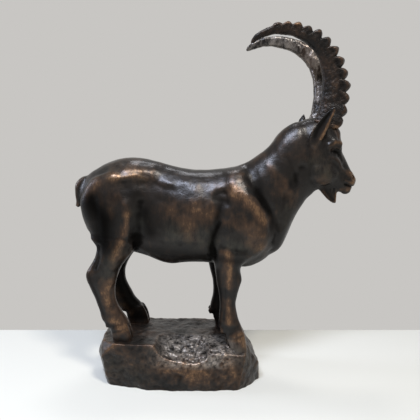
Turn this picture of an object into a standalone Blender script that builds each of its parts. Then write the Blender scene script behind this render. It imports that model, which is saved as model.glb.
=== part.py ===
"""Ibex standing on a rock, cast in one piece of bronze.

The goat faces +X with its right flank towards -Y, and the rock's flat underside lies on z = 0.
Outlines are drawn in millimetres in the side view (x forwards, z up). A rib joins two outline points
that face each other, and a body is a loft through its ribs. All bodies are then fused and smoothed
the way clay is, and hollows and ridges are pressed in along short strokes.
"""
import math

import bmesh
import bpy
import numpy as np
from mathutils import Matrix, Vector, noise

NAME = "ibex_on_rock"
MM = 0.001

# The rock
ROCK_LENGTH = 163.5
ROCK_DEPTH = 89.0
ROCK_HEIGHT = 44.0

# The stance
LEG_LENGTH = 73.0
STANCE_LENGTH = 106.2
STANCE_WIDTH = 51.0

# The trunk
BODY_LENGTH = 196.0
BODY_DEPTH = 105.3
BODY_WIDTH = 65.0
TAIL_LENGTH = 35.5

# Neck and head
NECK_LENGTH = 73.6
NECK_WIDTH = 55.0
HEAD_LENGTH = 63.2
HEAD_WIDTH = 38.0
HEAD_TURN = math.radians(7.5)
HEAD_TILT = math.radians(-5.0)
EAR_LENGTH = 40.7
BEARD_LENGTH = 14.5

# The horns
HORN_LENGTH = 151.0
FAR_HORN_LENGTH = 144.0
HORN_DEPTH = 28.4
HORN_WIDTH = 15.0
HORN_ROOT_GAP = 21.5
HORN_SPREAD = 45.0
HORN_ROOT_LEAN = math.radians(72.3)
HORN_TIP_LEAN = math.radians(228.0)
KNOB_COUNT = 13
KNOB_HEIGHT = 5.7

# Working sizes of the clay; the budget is for the skin before its underside is cut off
COARSE_GRAIN = 1.6
FINE_GRAIN = 1.15
FLESH_SMOOTH_STEPS = 14
SEAM_SMOOTH_STEPS = 2
BED_DEPTH = 6.0
STONE_SWELLS = ((16.0, 2.2), (6.0, 0.7))
TRIANGLE_BUDGET = 12400
HORN_STEPS = 37
HORN_SIDES = 28
EAR_SIDES = 24
TOE_SIDES = 20

# Ribs: low x, low z, high x, high z, half width, where the rib is widest (-1 low to 1 high)
TRUNK = [
    (-98, 172, -95, 203, 10, 0.0),
    (-94.5, 152, -84, 211, 21, 0.1),
    (-80, 136, -67, 219.2, 27.5, 0.1),
    (-60, 130, -48, 222.3, 28.5, 0.0),
    (-38, 125, -28, 219.5, 29, -0.2),
    (-14, 116.6, -8, 213.8, 31.5, -0.3),
    (8, 117.8, 12, 210.3, 32.5, -0.3),
    (30, 117.0, 34, 210.8, 32, -0.2),
    (50, 113.5, 54, 213.6, 31, -0.1),
    (68, 113.0, 72, 216, 28.5, -0.1),
    (85, 122, 88, 206, 22, -0.1),
    (97, 137, 98, 186, 12, 0.0),
]
NECK = [
    (60, 118, 36, 205, 27.5, -0.2),
    (83, 123, 52, 213, 27.5, -0.2),
    (97, 130, 66, 218.5, 25.5, -0.2),
    (105, 145, 76.5, 225.5, 22.5, -0.1),
    (110, 157.5, 85.5, 233, 19.5, 0.0),
    (116.2, 169.3, 94, 244, 18, 0.1),
    (123.6, 180.4, 103, 252.5, 17.5, 0.1),
    (131, 187.5, 113, 257.5, 16.5, 0.1),
]
HEAD = [
    (126, 187, 108, 252, 15, 0.2),
    (134, 190, 123, 260, 18, 0.3),
    (141, 190.5, 139.5, 261, 19, 0.4),
    (147.3, 189.6, 149.4, 256.5, 17.8, 0.4),
    (153, 188.4, 153.7, 247, 15.6, 0.4),
    (157, 187.4, 155.2, 238, 12.8, 0.3),
    (160.8, 186.6, 157.4, 229.5, 10.4, 0.2),
    (164.0, 186.6, 163.0, 219.5, 8.8, 0.1),
    (167, 188.0, 167.4, 210.5, 8.2, 0.0),
    (169.2, 192.0, 171.2, 204.5, 6.4, 0.0),
]
BEARD = [
    (134.5, 192, 153, 192, 6.0, 0.0),
    (138.8, 187.2, 154.2, 187.2, 4.6, 0.0),
    (143.0, 182, 154.0, 182, 3.8, 0.0),
    (147.6, 178, 153.8, 177.5, 2.6, 0.0),
]
HAUNCH = [
    (-92, 194, -54, 208, 12, 0.2),
    (-97.3, 180, -42, 188, 16, 0.2),
    (-94.2, 162, -40, 162, 16.5, 0.1),
    (-86.8, 146, -43, 142, 14, 0.0),
    (-81.5, 134, -51, 129, 11, 0.0),
]
SHOULDER = [
    (42, 200, 62, 202, 5, 0.0),
    (28, 186, 80, 188, 12.5, 0.0),
    (22, 162, 92, 164, 16.5, -0.1),
    (24, 142, 86, 138, 15.5, -0.1),
    (28, 128, 68, 122, 11.5, 0.0),
]

# Legs: back x, back z, front x, front z, half width
NEAR_HIND = [
    (-88, 146, -42, 142, 12.5),
    (-82.5, 136, -47.5, 131, 11.2),
    (-84.4, 126, -53.5, 123.5, 9.8),
    (-88.4, 118.5, -58.3, 117, 8.8),
    (-93.0, 110.5, -61.8, 109, 8.2),
    (-92.6, 103.5, -64.2, 101.5, 8.1),
    (-89.4, 95.5, -65.1, 93.5, 7.4),
    (-86.0, 87.6, -64.8, 86, 6.7),
    (-82.9, 79, -62.5, 78.5, 6.8),
    (-80.6, 71.5, -58.5, 71.5, 7.4),
    (-78.6, 63.5, -54.4, 66, 8.0),
    (-72.5, 55.5, -51.6, 59.5, 8.2),
]
FAR_HIND = [
    (-88, 146, -42, 142, 12.5),
    (-82.5, 136, -46, 131, 11.2),
    (-83, 126, -52.5, 122, 9.8),
    (-86, 118.5, -57.5, 114.5, 8.8),
    (-89, 110.5, -60.8, 107, 8.2),
    (-88, 103.5, -62.2, 100, 8.1),
    (-85.5, 95.5, -61.5, 92, 7.4),
    (-82.5, 87.6, -59.0, 85.5, 6.8),
    (-79.5, 79.0, -56.0, 78.5, 7.2),
    (-76.5, 70.5, -52.2, 71, 7.8),
    (-72.5, 62.5, -47.6, 65.8, 8.2),
    (-66.5, 55.5, -43.6, 60, 8.2),
]
NEAR_FORE = [
    (27, 138, 72, 128, 12.5),
    (29.5, 128, 62, 121, 11),
    (32, 119, 57.8, 114.5, 9.8),
    (33.2, 111, 58.6, 108, 9.0),
    (34.2, 102, 58.9, 102.5, 8.5),
    (36.2, 93.5, 55.8, 93.5, 7.6),
    (37.4, 84, 53.9, 84.5, 7.0),
    (37.5, 75.5, 53.5, 76, 7.0),
    (36.4, 66, 55.3, 67.5, 7.7),
    (36.6, 58.5, 58.6, 59, 8.2),
    (40.8, 50.5, 61.2, 53, 8.2),
]
FAR_FORE = [
    (25, 138, 70, 128, 12.5),
    (25, 128, 57, 121, 11),
    (25.8, 119, 52, 114.5, 9.8),
    (26.5, 111, 52.4, 108, 9.0),
    (28.4, 102, 52.8, 102.5, 8.5),
    (30.4, 93.5, 49.8, 93.5, 7.6),
    (31.3, 84, 47.8, 84.5, 7.0),
    (30.9, 75.5, 47.2, 76, 7.0),
    (28.6, 66.5, 48.6, 67.5, 7.7),
    (28.2, 59.5, 51.5, 60.5, 8.2),
    (30.4, 53.0, 54.0, 55.5, 8.2),
]
# Toes: back x, back z, front x, front z, half width, from the coronet to below the rock's surface
NEAR_HIND_TOE = [
    (-70, 58, -54.5, 62, 3.6),
    (-69.5, 52, -51.8, 56.5, 4.6),
    (-68, 46, -49.2, 48.0, 4.9),
    (-67.5, 40, -48.6, 41, 4.9),
]
FAR_HIND_TOE = [
    (-62.5, 58, -44.5, 63, 3.6),
    (-62, 52, -41.2, 57.5, 4.6),
    (-60.5, 46, -38.6, 48.5, 4.9),
    (-60, 40, -37.6, 41, 4.9),
]
NEAR_FORE_TOE = [
    (43, 54, 60, 55, 3.6),
    (42.5, 48, 62, 50, 4.6),
    (44.5, 42, 63.4, 43, 4.9),
    (45.5, 36, 64.5, 36, 4.9),
    (46, 31, 64.5, 31, 4.9),
]
FAR_FORE_TOE = [
    (31.5, 57, 53, 58, 3.6),
    (31.5, 51, 55, 52.5, 4.6),
    (33.5, 46, 56.5, 46, 4.9),
    (34.5, 40, 57, 40, 4.9),
]

# Corners of the rock: x, y, z
ROCK = [
    (-75, -23, 0), (-70, -30, 0), (-26, -41.5, 0), (14, -43, 0), (55, -41.5, 0), (64, -35, 0),
    (80, -16, 0), (77, 22, 0), (58, 41, 0), (0, 44, 0), (-55, 43, 0), (-76, 26, 0),
    (-87, -10, 28), (-80, -33, 30), (-28, -43, 24), (16, -44.5, 14), (60, -42, 16), (78, -21, 20),
    (74, 22, 20), (-60, 44.5, 24), (0, 44.5, 24), (56, 42, 24),
    (-79, -23, 43), (-66, -36.5, 44.6), (-31, -39.5, 44.4), (32, -41, 36), (63, -38, 33),
    (65, -28, 39), (62, 8, 42.6), (57, 30, 41.6), (35, 38, 42), (-41, 44, 42.4), (-66, 42, 42),
    (-82, 14, 42.6),
]
# Corners of the space struck out of the rock's near side, up to above its top
SCOOP = [
    (-31, -52, 62), (-26, -52, 40), (-17, -52, 30), (-6, -52, 26), (16, -52, 22), (23, -52, 25),
    (30, -52, 36), (40, -52, 62),
    (-28, -8, 62), (-24, -14, 43.0), (-14, -7, 43.6), (10, -9, 43.4), (24, -16, 42.6), (34, -12, 62),
]

# The horn at even steps from root to tip: inner and outer depth, half width, share of the knobs' height
HORN = [
    (16.2, 12.2, 7.5, 0.4),
    (11.6, 10.4, 6.6, 1.0),
    (5.2, 8.6, 5.6, 1.0),
    (4.6, 4.8, 4.7, 0.45),
    (2.5, 2.7, 3.4, 0.2),
]
# The ear: back x, back z, front x, front z, half thickness, distance from the middle, curl of the edges
EAR = [
    (121.0, 232.5, 128.5, 229.0, 3.6, 15.0, 0.0),
    (120.4, 239.5, 131.0, 234.5, 3.2, 17.5, 1.4),
    (121.8, 246.0, 134.8, 242.0, 2.5, 20.0, 2.2),
    (125.8, 252.6, 138.2, 249.8, 2.2, 22.5, 2.4),
    (131.2, 259.2, 141.0, 257.0, 2.0, 24.5, 2.0),
    (136.6, 264.8, 142.4, 263.0, 1.8, 26.0, 1.3),
    (140.9, 268.0, 142.9, 267.2, 1.4, 27.0, 0.3),
]
# How far back the far ear's tip is laid
FAR_EAR_LAID_BACK = 12.4
# The tail: outer x, outer z, inner x, inner z, half width, where it is widest
TAIL = [
    (-90, 205, -86, 196, 8.0, 0.0),
    (-99, 202.5, -92, 193, 7.0, 0.0),
    (-105.2, 196, -97, 190, 6.0, 0.0),
    (-105.8, 187, -98.5, 184.5, 5.2, 0.0),
    (-105.2, 180, -99.5, 178, 4.6, 0.0),
    (-106.0, 174.5, -101.5, 173.5, 3.4, 0.0),
]

# Rounded masses: place (x, distance from the middle, z), half sizes, pitch in degrees
CHEEK = ((137.0, 12.0, 207.0), (15.0, 7.5, 15.0), 0.0)
BROW = ((143.5, 13.0, 238.0), (9.5, 6.5, 4.5), -14.0)
FOREHEAD = ((149.5, 8.0, 244.0), (5.5, 6.0, 7.0), 0.0)
EYE = ((148.6, 13.8, 228.2), (3.1, 2.6, 2.8), 0.0)
NOSTRIL = ((166.0, 5.0, 202.0), (4.2, 3.4, 4.0), 0.0)
LIP = ((163.6, 0.0, 188.8), (5.0, 5.0, 3.6), 10.0)
# The dewclaw's place is measured from the back of its coronet
DEWCLAW = ((-2.6, 0.0, 1.5), (2.6, 2.3, 3.6), 0.0)

# Fixed points of the drawing
BELLY = 117.0
HIP = (-66.0, 19.0, 140.0)
ELBOW = (48.0, 19.0, 132.0)
NEAR_HIND_FOOT = (-58.2, -20.0, 45.0)
FAR_HIND_FOOT = (-52.0, 30.5, 45.0)
NEAR_FORE_FOOT = (54.0, -25.5, 37.0)
FAR_FORE_FOOT = (46.0, 25.5, 44.0)
NECK_ROOT = (68.0, 0.0, 168.0)
NECK_TOP = (118.0, 0.0, 222.0)
HORN_ROOT = (142.8, 0.0, 251.6)
BEARD_ROOT = (146.0, 0.0, 192.0)
TAIL_ROOT = (-92.0, 0.0, 203.0)
TOE_OFFSET = 4.6
HORN_EVEN_CURL = 0.56
HORN_POINT_START = 0.93
HORN_FRONT_SWELL = 0.22
KNOB_LAG = 0.03
KNOB_START = -0.005
KNOB_END = 0.84
FLANK_OFFSET = 15.5
DRAWN_STANCE_LENGTH = 106.2
DRAWN_STANCE_WIDTH = 51.0
DRAWN_ROCK_TOP = 44.0

# Strokes: side-view path, reach of the tool, height (negative for a hollow)
BODY_STROKES = [
    ([(60, 217), (72, 195.5), (85, 172), (92, 147), (90, 130)], 5.5, -2.6),
    ([(40, 182), (37, 174), (33, 155), (30, 142), (30, 128)], 5, -2.0),
    ([(35, 183), (38, 188), (46, 192)], 3.5, -1.0),
    ([(-30, 200), (-22, 185), (-20, 171), (-24, 152)], 14, -3.0),
    ([(-50, 178), (-50, 154), (-59, 135), (-66, 119)], 5.5, 2.0),
    ([(-37, 180), (-38, 165), (-40, 147), (-46, 134)], 6.5, -2.8),
    ([(-62, 206), (-43, 209), (-30, 207)], 7, 2.2),
    ([(-37, 141), (-20, 138.5), (-5, 137.5), (28, 135.5)], 4, -1.2),
    ([(-82, 184), (-79, 160), (-78, 138)], 5, -1.8),
    ([(-79.5, 138), (-79, 126), (-82, 117)], 2.6, -1.8),
    ([(53, 195), (72, 173), (73, 149)], 8, 1.6),
    ([(44, 160), (46, 140), (44, 118)], 6, 1.0),
    ([(115, 212), (100, 183), (96, 160)], 6, -1.8),
    ([(49, 206), (60, 209)], 7, 1.6),
    ([(10, 200), (14, 175), (10, 150)], 9, 1.0),
]
HEAD_STROKES = [
    ([(144.5, 227), (149, 226), (153, 224)], 4.2, -3.2),
    ([(152.5, 224), (158, 213)], 3.4, -1.6),
    ([(140, 232.5), (146, 235.5), (153, 234.5)], 2.4, 1.6),
    ([(133, 221), (134, 204), (142, 194.5)], 3.2, -1.8),
    ([(157.5, 198.5), (163, 195), (171, 192.8)], 1.5, -1.6),
    ([(169.5, 203.5), (171.5, 202)], 1.7, -1.8),
    ([(150, 212), (157, 204), (160, 199)], 3.6, -1.0),
]


def extent(ribs, column):
    """Length that a drawing spans in the columns of its two outline points."""
    values = [rib[column] for rib in ribs] + [rib[column + 2] for rib in ribs]
    return max(values) - min(values)


def stretch_about(drawn, real, scale):
    """Matrix that carries the drawn point to the real one and stretches around it."""
    stretch = Matrix.Diagonal((*scale, 1))
    return Matrix.Translation(Vector(real)) @ stretch @ Matrix.Translation(-Vector(drawn))


def smooth_rows(rows, steps):
    """Rows on a smooth curve through the given rows, with some steps between each two."""
    rows = np.array(rows, float)
    before = np.vstack([2 * rows[0] - rows[1], rows[:-1]])
    after = np.vstack([rows[1:], 2 * rows[-1] - rows[-2]])
    slope = (after - before) / 2
    result = []
    for index in range(len(rows) - 1):
        for step in range(steps):
            t = step / steps
            start_part = (1 + 2 * t) * (1 - t) ** 2 * rows[index] + t * (1 - t) ** 2 * slope[index]
            end_part = t * t * (3 - 2 * t) * rows[index + 1] + t * t * (t - 1) * slope[index + 1]
            result.append(start_part + end_part)
    result.append(rows[-1])
    return result


def section(centre, along, across, widest, sides, fullness):
    """Points of a rounded section that spans the two half axes."""
    points = []
    for side in range(sides):
        angle = 2 * math.pi * side / sides
        up = math.copysign(abs(math.cos(angle)) ** fullness, math.cos(angle))
        out = math.copysign(abs(math.sin(angle)) ** fullness, math.sin(angle))
        swell = 1 + 0.5 * widest * up - 0.12 * abs(widest)
        points.append(centre + along * up + across * out * swell)
    return points


def skin(bm, rings):
    """Close a run of rings into one body, with a low dome on each end."""
    domed = []
    for ring, inner in ((rings[0], rings[1]), (rings[-1], rings[-2])):
        centre = sum(ring, Vector()) / len(ring)
        outward = (centre - sum(inner, Vector()) / len(inner)).normalized()
        reach = min((point - centre).length for point in ring)
        cap = [centre + (point - centre) * 0.6 + outward * reach * 0.5 for point in ring]
        domed.append((cap, centre + outward * reach * 0.62))
    loops = [domed[0][0]] + rings + [domed[1][0]]
    made = [[bm.verts.new(point) for point in loop] for loop in loops]
    sides = len(made[0])
    faces = []
    for lower, upper in zip(made, made[1:]):
        for side in range(sides):
            turn = (side + 1) % sides
            faces.append(bm.faces.new((lower[side], lower[turn], upper[turn], upper[side])))
    for loop, (_, pole) in ((made[0], domed[0]), (made[-1], domed[1])):
        tip = bm.verts.new(pole)
        for side in range(sides):
            faces.append(bm.faces.new((loop[side], loop[(side + 1) % sides], tip)))
    bmesh.ops.recalc_face_normals(bm, faces=faces)


def loft(bm, ribs, matrix, side=0.0, fullness=0.9, steps=4, sides=28):
    """Body through ribs drawn in the side view, centred on the given distance from the middle."""
    rings = []
    for row in smooth_rows([tuple(rib) + (0.0,) * (6 - len(rib)) for rib in ribs], steps):
        low = Vector((row[0], side, row[1]))
        high = Vector((row[2], side, row[3]))
        across = Vector((0, row[4], 0))
        ring = section((low + high) / 2, (high - low) / 2, across, row[5], sides, fullness)
        rings.append([matrix @ point for point in ring])
    skin(bm, rings)


def lump(bm, mass, matrix, side):
    """Egg-shaped mass on one side, pitched in the side view."""
    (along, apart, height), radii, pitch = mass
    turn = Matrix.Rotation(-math.radians(pitch), 4, "Y")
    centre = Matrix.Translation((along, side * apart, height))
    place = matrix @ centre @ turn @ Matrix.Diagonal((*radii, 1))
    bmesh.ops.create_uvsphere(bm, u_segments=24, v_segments=16, radius=1.0, matrix=place)


def as_object(bm, name):
    """New object in the scene from a working mesh."""
    mesh = bpy.data.meshes.new(name)
    bm.to_mesh(mesh)
    bm.free()
    result = bpy.data.objects.new(name, mesh)
    bpy.context.scene.collection.objects.link(result)
    return result


def applied(source, name):
    """Copy of an object with its modifiers applied; the source is removed."""
    graph = bpy.context.evaluated_depsgraph_get()
    mesh = bpy.data.meshes.new_from_object(source.evaluated_get(graph))
    mesh.name = name
    bpy.data.objects.remove(source)
    result = bpy.data.objects.new(name, mesh)
    bpy.context.scene.collection.objects.link(result)
    return result


def fused(source, grain, rounds):
    """One closed skin around overlapping bodies, with its seams smoothed."""
    remesh = source.modifiers.new("fuse", "REMESH")
    remesh.mode = "VOXEL"
    remesh.voxel_size = grain * MM
    result = applied(source, source.name)
    points, _ = mesh_arrays(result.data)
    relax(result.data, points, rounds)
    store(result.data, points)
    return result


def mesh_arrays(mesh):
    """Vertex positions in millimetres, and vertex normals."""
    points = np.empty(len(mesh.vertices) * 3)
    mesh.vertices.foreach_get("co", points)
    normals = np.empty(len(mesh.vertices) * 3)
    mesh.vertex_normals.foreach_get("vector", normals)
    return points.reshape(-1, 3) / MM, normals.reshape(-1, 3)


def store(mesh, points):
    """Put positions, in millimetres, back into the mesh."""
    mesh.vertices.foreach_set("co", (points * MM).ravel())
    mesh.update()


def relax(mesh, points, rounds):
    """Even out the surface, with alternate outward steps that keep its volume."""
    edges = np.empty(len(mesh.edges) * 2, int)
    mesh.edges.foreach_get("vertices", edges)
    first, second = edges.reshape(-1, 2).T
    count = np.bincount(first, minlength=len(points)) + np.bincount(second, minlength=len(points))
    for _ in range(rounds):
        for share in (0.55, -0.53):
            total = np.zeros_like(points)
            for axis in range(3):
                total[:, axis] += np.bincount(first, points[second, axis], len(points))
                total[:, axis] += np.bincount(second, points[first, axis], len(points))
            points += (total / count[:, None] - points) * share


# The frames in which the drawings are placed


def body_frame():
    """Trunk: stretched about the belly above the middle of the rock."""
    scale = (
        BODY_LENGTH / extent(TRUNK, 0),
        BODY_WIDTH / (2 * max(rib[4] for rib in TRUNK)),
        BODY_DEPTH / (max(rib[3] for rib in TRUNK) - BELLY),
    )
    return stretch_about((0, 0, BELLY), (0, 0, ROCK_HEIGHT + LEG_LENGTH), scale)


def neck_frame(body):
    """Neck: stretched about its root in the shoulders."""
    reach = math.dist(NECK_ROOT, NECK_TOP)
    scale = (NECK_LENGTH / reach, NECK_WIDTH / (2 * NECK[0][4]), NECK_LENGTH / reach)
    return stretch_about(NECK_ROOT, body @ Vector(NECK_ROOT), scale)


def head_frame(neck):
    """Head: turned towards the left flank about the top of the neck."""
    length = HEAD_LENGTH / extent(HEAD, 0)
    scale = (length, HEAD_WIDTH / (2 * max(rib[4] for rib in HEAD)), length)
    top = neck @ Vector(NECK_TOP)
    pose = Matrix.Rotation(HEAD_TURN, 4, "Z") @ Matrix.Rotation(HEAD_TILT, 4, "X")
    turn = Matrix.Translation(top) @ pose @ Matrix.Translation(-top)
    return turn @ stretch_about(NECK_TOP, top, scale)


def leg_frame(body, joint, foot, side):
    """Leg: leans and stretches between its joint in the trunk and its foot on the rock."""
    real_joint = body @ Vector((joint[0], side * joint[1], joint[2]))
    real_foot = Vector((
        foot[0] * STANCE_LENGTH / DRAWN_STANCE_LENGTH,
        foot[1] * STANCE_WIDTH / DRAWN_STANCE_WIDTH,
        foot[2] + ROCK_HEIGHT - DRAWN_ROCK_TOP,
    ))
    height = joint[2] - foot[2]
    drawn_lean = Vector((joint[0] - foot[0], 0, 0))
    column = (real_joint - real_foot - drawn_lean) / height
    lean = Matrix(((1, 0, column.x, 0), (0, 1, column.y, 0), (0, 0, column.z, 0), (0, 0, 0, 1)))
    return Matrix.Translation(real_foot) @ lean @ Matrix.Translation((-foot[0], 0, -foot[2]))


BODY = body_frame()
NECKLINE = neck_frame(BODY)
SKULL = head_frame(NECKLINE)
LEGS = (
    (NEAR_HIND, NEAR_HIND_TOE, HIP, NEAR_HIND_FOOT, -1),
    (FAR_HIND, FAR_HIND_TOE, HIP, FAR_HIND_FOOT, 1),
    (NEAR_FORE, NEAR_FORE_TOE, ELBOW, NEAR_FORE_FOOT, -1),
    (FAR_FORE, FAR_FORE_TOE, ELBOW, FAR_FORE_FOOT, 1),
)


# The bodies


def rock_frame():
    """Rock: stretched about the middle of its underside."""
    width = max(corner[1] for corner in ROCK) - min(corner[1] for corner in ROCK)
    length = max(corner[0] for corner in ROCK) - min(corner[0] for corner in ROCK)
    return Matrix.Diagonal((ROCK_LENGTH / length, ROCK_DEPTH / width, ROCK_HEIGHT / DRAWN_ROCK_TOP, 1))


def hull(corners, matrix):
    """Faceted block around the corners."""
    bm = bmesh.new()
    for corner in corners:
        bm.verts.new(matrix @ Vector(corner) * MM)
    made = bmesh.ops.convex_hull(bm, input=bm.verts)
    inside = {item for item in made["geom_interior"] if isinstance(item, bmesh.types.BMVert)}
    bmesh.ops.delete(bm, geom=list(inside), context="VERTS")
    bmesh.ops.recalc_face_normals(bm, faces=bm.faces)
    return bm


def rock():
    """Boulder with its near side struck away; it reaches below the underside until it is trimmed."""
    frame = rock_frame()
    corners = [(x, y, z if z > 0 else -BED_DEPTH) for x, y, z in ROCK]
    block = as_object(hull(corners, frame), "rock")
    cutter = as_object(hull(SCOOP, frame), "scoop")
    cutter.hide_render = True
    cutter.display_type = "WIRE"
    cut = block.modifiers.new("scoop", "BOOLEAN")
    cut.operation = "DIFFERENCE"
    cut.solver = "EXACT"
    cut.object = cutter
    result = applied(block, "rock")
    bpy.data.objects.remove(cutter)
    return result


def ear(bm, side):
    """Upright leaf whose edges curl outwards."""
    rings = []
    root = Vector((EAR[0][0], 0, EAR[0][1]))
    tip = Vector((EAR[-1][0], 0, EAR[-1][1]))
    grow = EAR_LENGTH / (tip - root).length
    laid = Vector((-FAR_EAR_LAID_BACK if side > 0 else 0.0, 0, 0))
    for row in smooth_rows(EAR, 5):
        lean = laid * (row[1] - root.z) / (tip.z - root.z)
        back = root + lean + (Vector((row[0], 0, row[1])) - root) * grow
        front = root + lean + (Vector((row[2], 0, row[3])) - root) * grow
        middle = (back + front) / 2
        along = (front - back) / 2
        ring = []
        for step in range(EAR_SIDES):
            angle = 2 * math.pi * step / EAR_SIDES
            up = math.cos(angle)
            curl = row[6] * (up * up - 0.5)
            out = row[5] + row[4] * math.sin(angle) + curl
            ring.append(SKULL @ (middle + along * up + Vector((0, side * out, 0))))
        rings.append(ring)
    skin(bm, rings)


def horn(bm, side):
    """Horn that curls back along a tightening arc, with knobs along its outer edge."""
    centre = Vector(HORN_ROOT)
    deep = HORN_DEPTH / (HORN[0][0] + HORN[0][1])
    wide = HORN_WIDTH / (2 * HORN[0][2])
    rows = smooth_rows(HORN, HORN_STEPS)
    length = HORN_LENGTH if side < 0 else FAR_HORN_LENGTH
    stride = length / (len(rows) - 1)
    rings = []
    for step, (inner, outer, across, share) in enumerate(rows):
        t = step / (len(rows) - 1)
        run = t * length / HORN_LENGTH
        curl = HORN_EVEN_CURL * run + (1 - HORN_EVEN_CURL) * run * run
        lean = HORN_ROOT_LEAN + (HORN_TIP_LEAN - HORN_ROOT_LEAN) * curl
        outward = Vector((math.sin(lean), 0, -math.cos(lean)))
        spread = t * t * (3 - 2 * t)
        centre.y = side * (HORN_ROOT_GAP + (HORN_SPREAD - HORN_ROOT_GAP) * spread) / 2
        point = 1 - max(0.0, (t - HORN_POINT_START) / (1 - HORN_POINT_START)) ** 2
        girth = math.sqrt(max(point, 0.05))
        rise = knob(t) * share
        ring = []
        for turn in range(HORN_SIDES):
            angle = 2 * math.pi * turn / HORN_SIDES
            up = math.copysign(abs(math.cos(angle)) ** 0.8, math.cos(angle))
            out = math.copysign(abs(math.sin(angle)) ** 0.8, math.sin(angle))
            swell = 1 + HORN_FRONT_SWELL * up
            lift = rise * max(0.0, up) ** 0.7
            reach = (outer if up > 0 else inner) * deep * girth * up + lift
            beside = Vector((0, across * wide * girth * out * swell, 0))
            ring.append(SKULL @ (centre + outward * reach + beside))
        rings.append(ring)
        centre += Vector((math.cos(lean), 0, math.sin(lean))) * stride
    skin(bm, rings)


def knob(t):
    """Height of the horn's outer edge above its smooth line, with one crest for each knob."""
    run = (t - KNOB_START) / (KNOB_END - KNOB_START)
    if not 0 < run < 1:
        return 0.0
    phase = (run - KNOB_LAG * math.sin(math.pi * run)) * KNOB_COUNT % 1.0
    return KNOB_HEIGHT * (1 - abs(2 * phase - 1) ** 1.7)


def flesh():
    """Trunk, neck, head and legs, before the hard details."""
    bm = bmesh.new()
    loft(bm, TRUNK, BODY)
    loft(bm, NECK, NECKLINE)
    loft(bm, HEAD, SKULL)
    for side in (-1, 1):
        flank = BODY @ Matrix.Translation((0, side * FLANK_OFFSET, 0))
        loft(bm, HAUNCH, flank)
        loft(bm, SHOULDER, flank)
        lump(bm, CHEEK, SKULL, side)
        lump(bm, BROW, SKULL, side)
        lump(bm, FOREHEAD, SKULL, side)
    for ribs, _, joint, foot, side in LEGS:
        loft(bm, ribs, leg_frame(BODY, joint, foot, side))
    bmesh.ops.scale(bm, vec=(MM, MM, MM), verts=bm.verts)
    return fused(as_object(bm, "flesh"), COARSE_GRAIN, FLESH_SMOOTH_STEPS)


def details():
    """Horns, ears, beard, tail, toes and dewclaws."""
    bm = bmesh.new()
    for side in (-1, 1):
        ear(bm, side)
        horn(bm, side)
        lump(bm, NOSTRIL, SKULL, side)
        lump(bm, EYE, SKULL, side)
    chin = stretch_about(BEARD_ROOT, BEARD_ROOT, (1, 1, BEARD_LENGTH / extent(BEARD, 1)))
    loft(bm, BEARD, SKULL @ chin)
    lump(bm, LIP, SKULL, 1)
    rump = stretch_about(TAIL_ROOT, BODY @ Vector(TAIL_ROOT), (1, 1, TAIL_LENGTH / extent(TAIL, 1)))
    loft(bm, TAIL, rump)
    for ribs, toe, joint, foot, side in LEGS:
        frame = leg_frame(BODY, joint, foot, side)
        for part in (-1, 1):
            beside = frame @ Matrix.Translation((0, part * TOE_OFFSET, 0))
            loft(bm, toe, beside, sides=TOE_SIDES)
            heel = Matrix.Translation((toe[0][0], 0, toe[0][1]))
            lump(bm, DEWCLAW, beside @ heel, part)
    bmesh.ops.scale(bm, vec=(MM, MM, MM), verts=bm.verts)
    return as_object(bm, "details")


def press(points, normals, frame, stroke, side):
    """Hollow or raise one flank along a stroke drawn in the side view."""
    path, reach, lift = stroke
    drawn = points @ np.array(frame.inverted().to_3x3()).T + np.array(frame.inverted().translation)
    places = drawn[:, [0, 2]]
    near = np.full(len(points), np.inf)
    for start, end in zip(path, path[1:]):
        start = np.array(start, float)
        run = np.array(end, float) - start
        share = np.clip(((places - start) @ run) / (run @ run), 0, 1)
        near = np.minimum(near, np.linalg.norm(places - start - share[:, None] * run, axis=1))
    outward = np.clip(normals[:, 1] * side * 1.6, 0, 1)
    far_enough = np.clip((drawn[:, 1] * side - 1) / 3, 0, 1)
    amount = lift * np.exp(-((near / reach) ** 2)) * outward * far_enough
    points += normals * amount[:, None]


def roughen(points, normals):
    """Give the rock the broken surface of stone."""
    below = np.clip((ROCK_HEIGHT + 1.5 - points[:, 2]) / 4, 0, 1)
    for index in np.nonzero(below > 0)[0]:
        place = Vector(points[index])
        swell = sum(noise.noise(place / size) * height for size, height in STONE_SWELLS)
        points[index] += normals[index] * swell * below[index]


def modelled(source):
    """Press all strokes into the fused clay."""
    for frame, strokes in ((BODY, BODY_STROKES), (SKULL, HEAD_STROKES)):
        for stroke in strokes:
            for side in (-1, 1):
                points, normals = mesh_arrays(source.data)
                press(points, normals, frame, stroke, side)
                store(source.data, points)
    points, normals = mesh_arrays(source.data)
    roughen(points, normals)
    relax(source.data, points, SEAM_SMOOTH_STEPS)
    store(source.data, points)


def joined(objects, name):
    """Several working objects as one."""
    bm = bmesh.new()
    for item in objects:
        bm.from_mesh(item.data)
        bpy.data.objects.remove(item)
    return as_object(bm, name)


def lightened(source, name):
    """The same skin with few enough triangles."""
    triangles = sum(len(face.vertices) - 2 for face in source.data.polygons)
    decimate = source.modifiers.new("lighten", "DECIMATE")
    decimate.ratio = TRIANGLE_BUDGET / triangles
    decimate.use_collapse_triangulate = True
    return applied(source, name)


def trimmed(mesh):
    """Cut the underside flat."""
    bm = bmesh.new()
    bm.from_mesh(mesh)
    everything = list(bm.verts) + list(bm.edges) + list(bm.faces)
    bmesh.ops.bisect_plane(bm, geom=everything, plane_co=(0, 0, 0), plane_no=(0, 0, 1), clear_inner=True)
    rim = [edge for edge in bm.edges if edge.is_boundary]
    bmesh.ops.contextual_create(bm, geom=rim)
    bmesh.ops.triangulate(bm, faces=bm.faces)
    bmesh.ops.recalc_face_normals(bm, faces=bm.faces)
    bm.to_mesh(mesh)
    bm.free()


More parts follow.
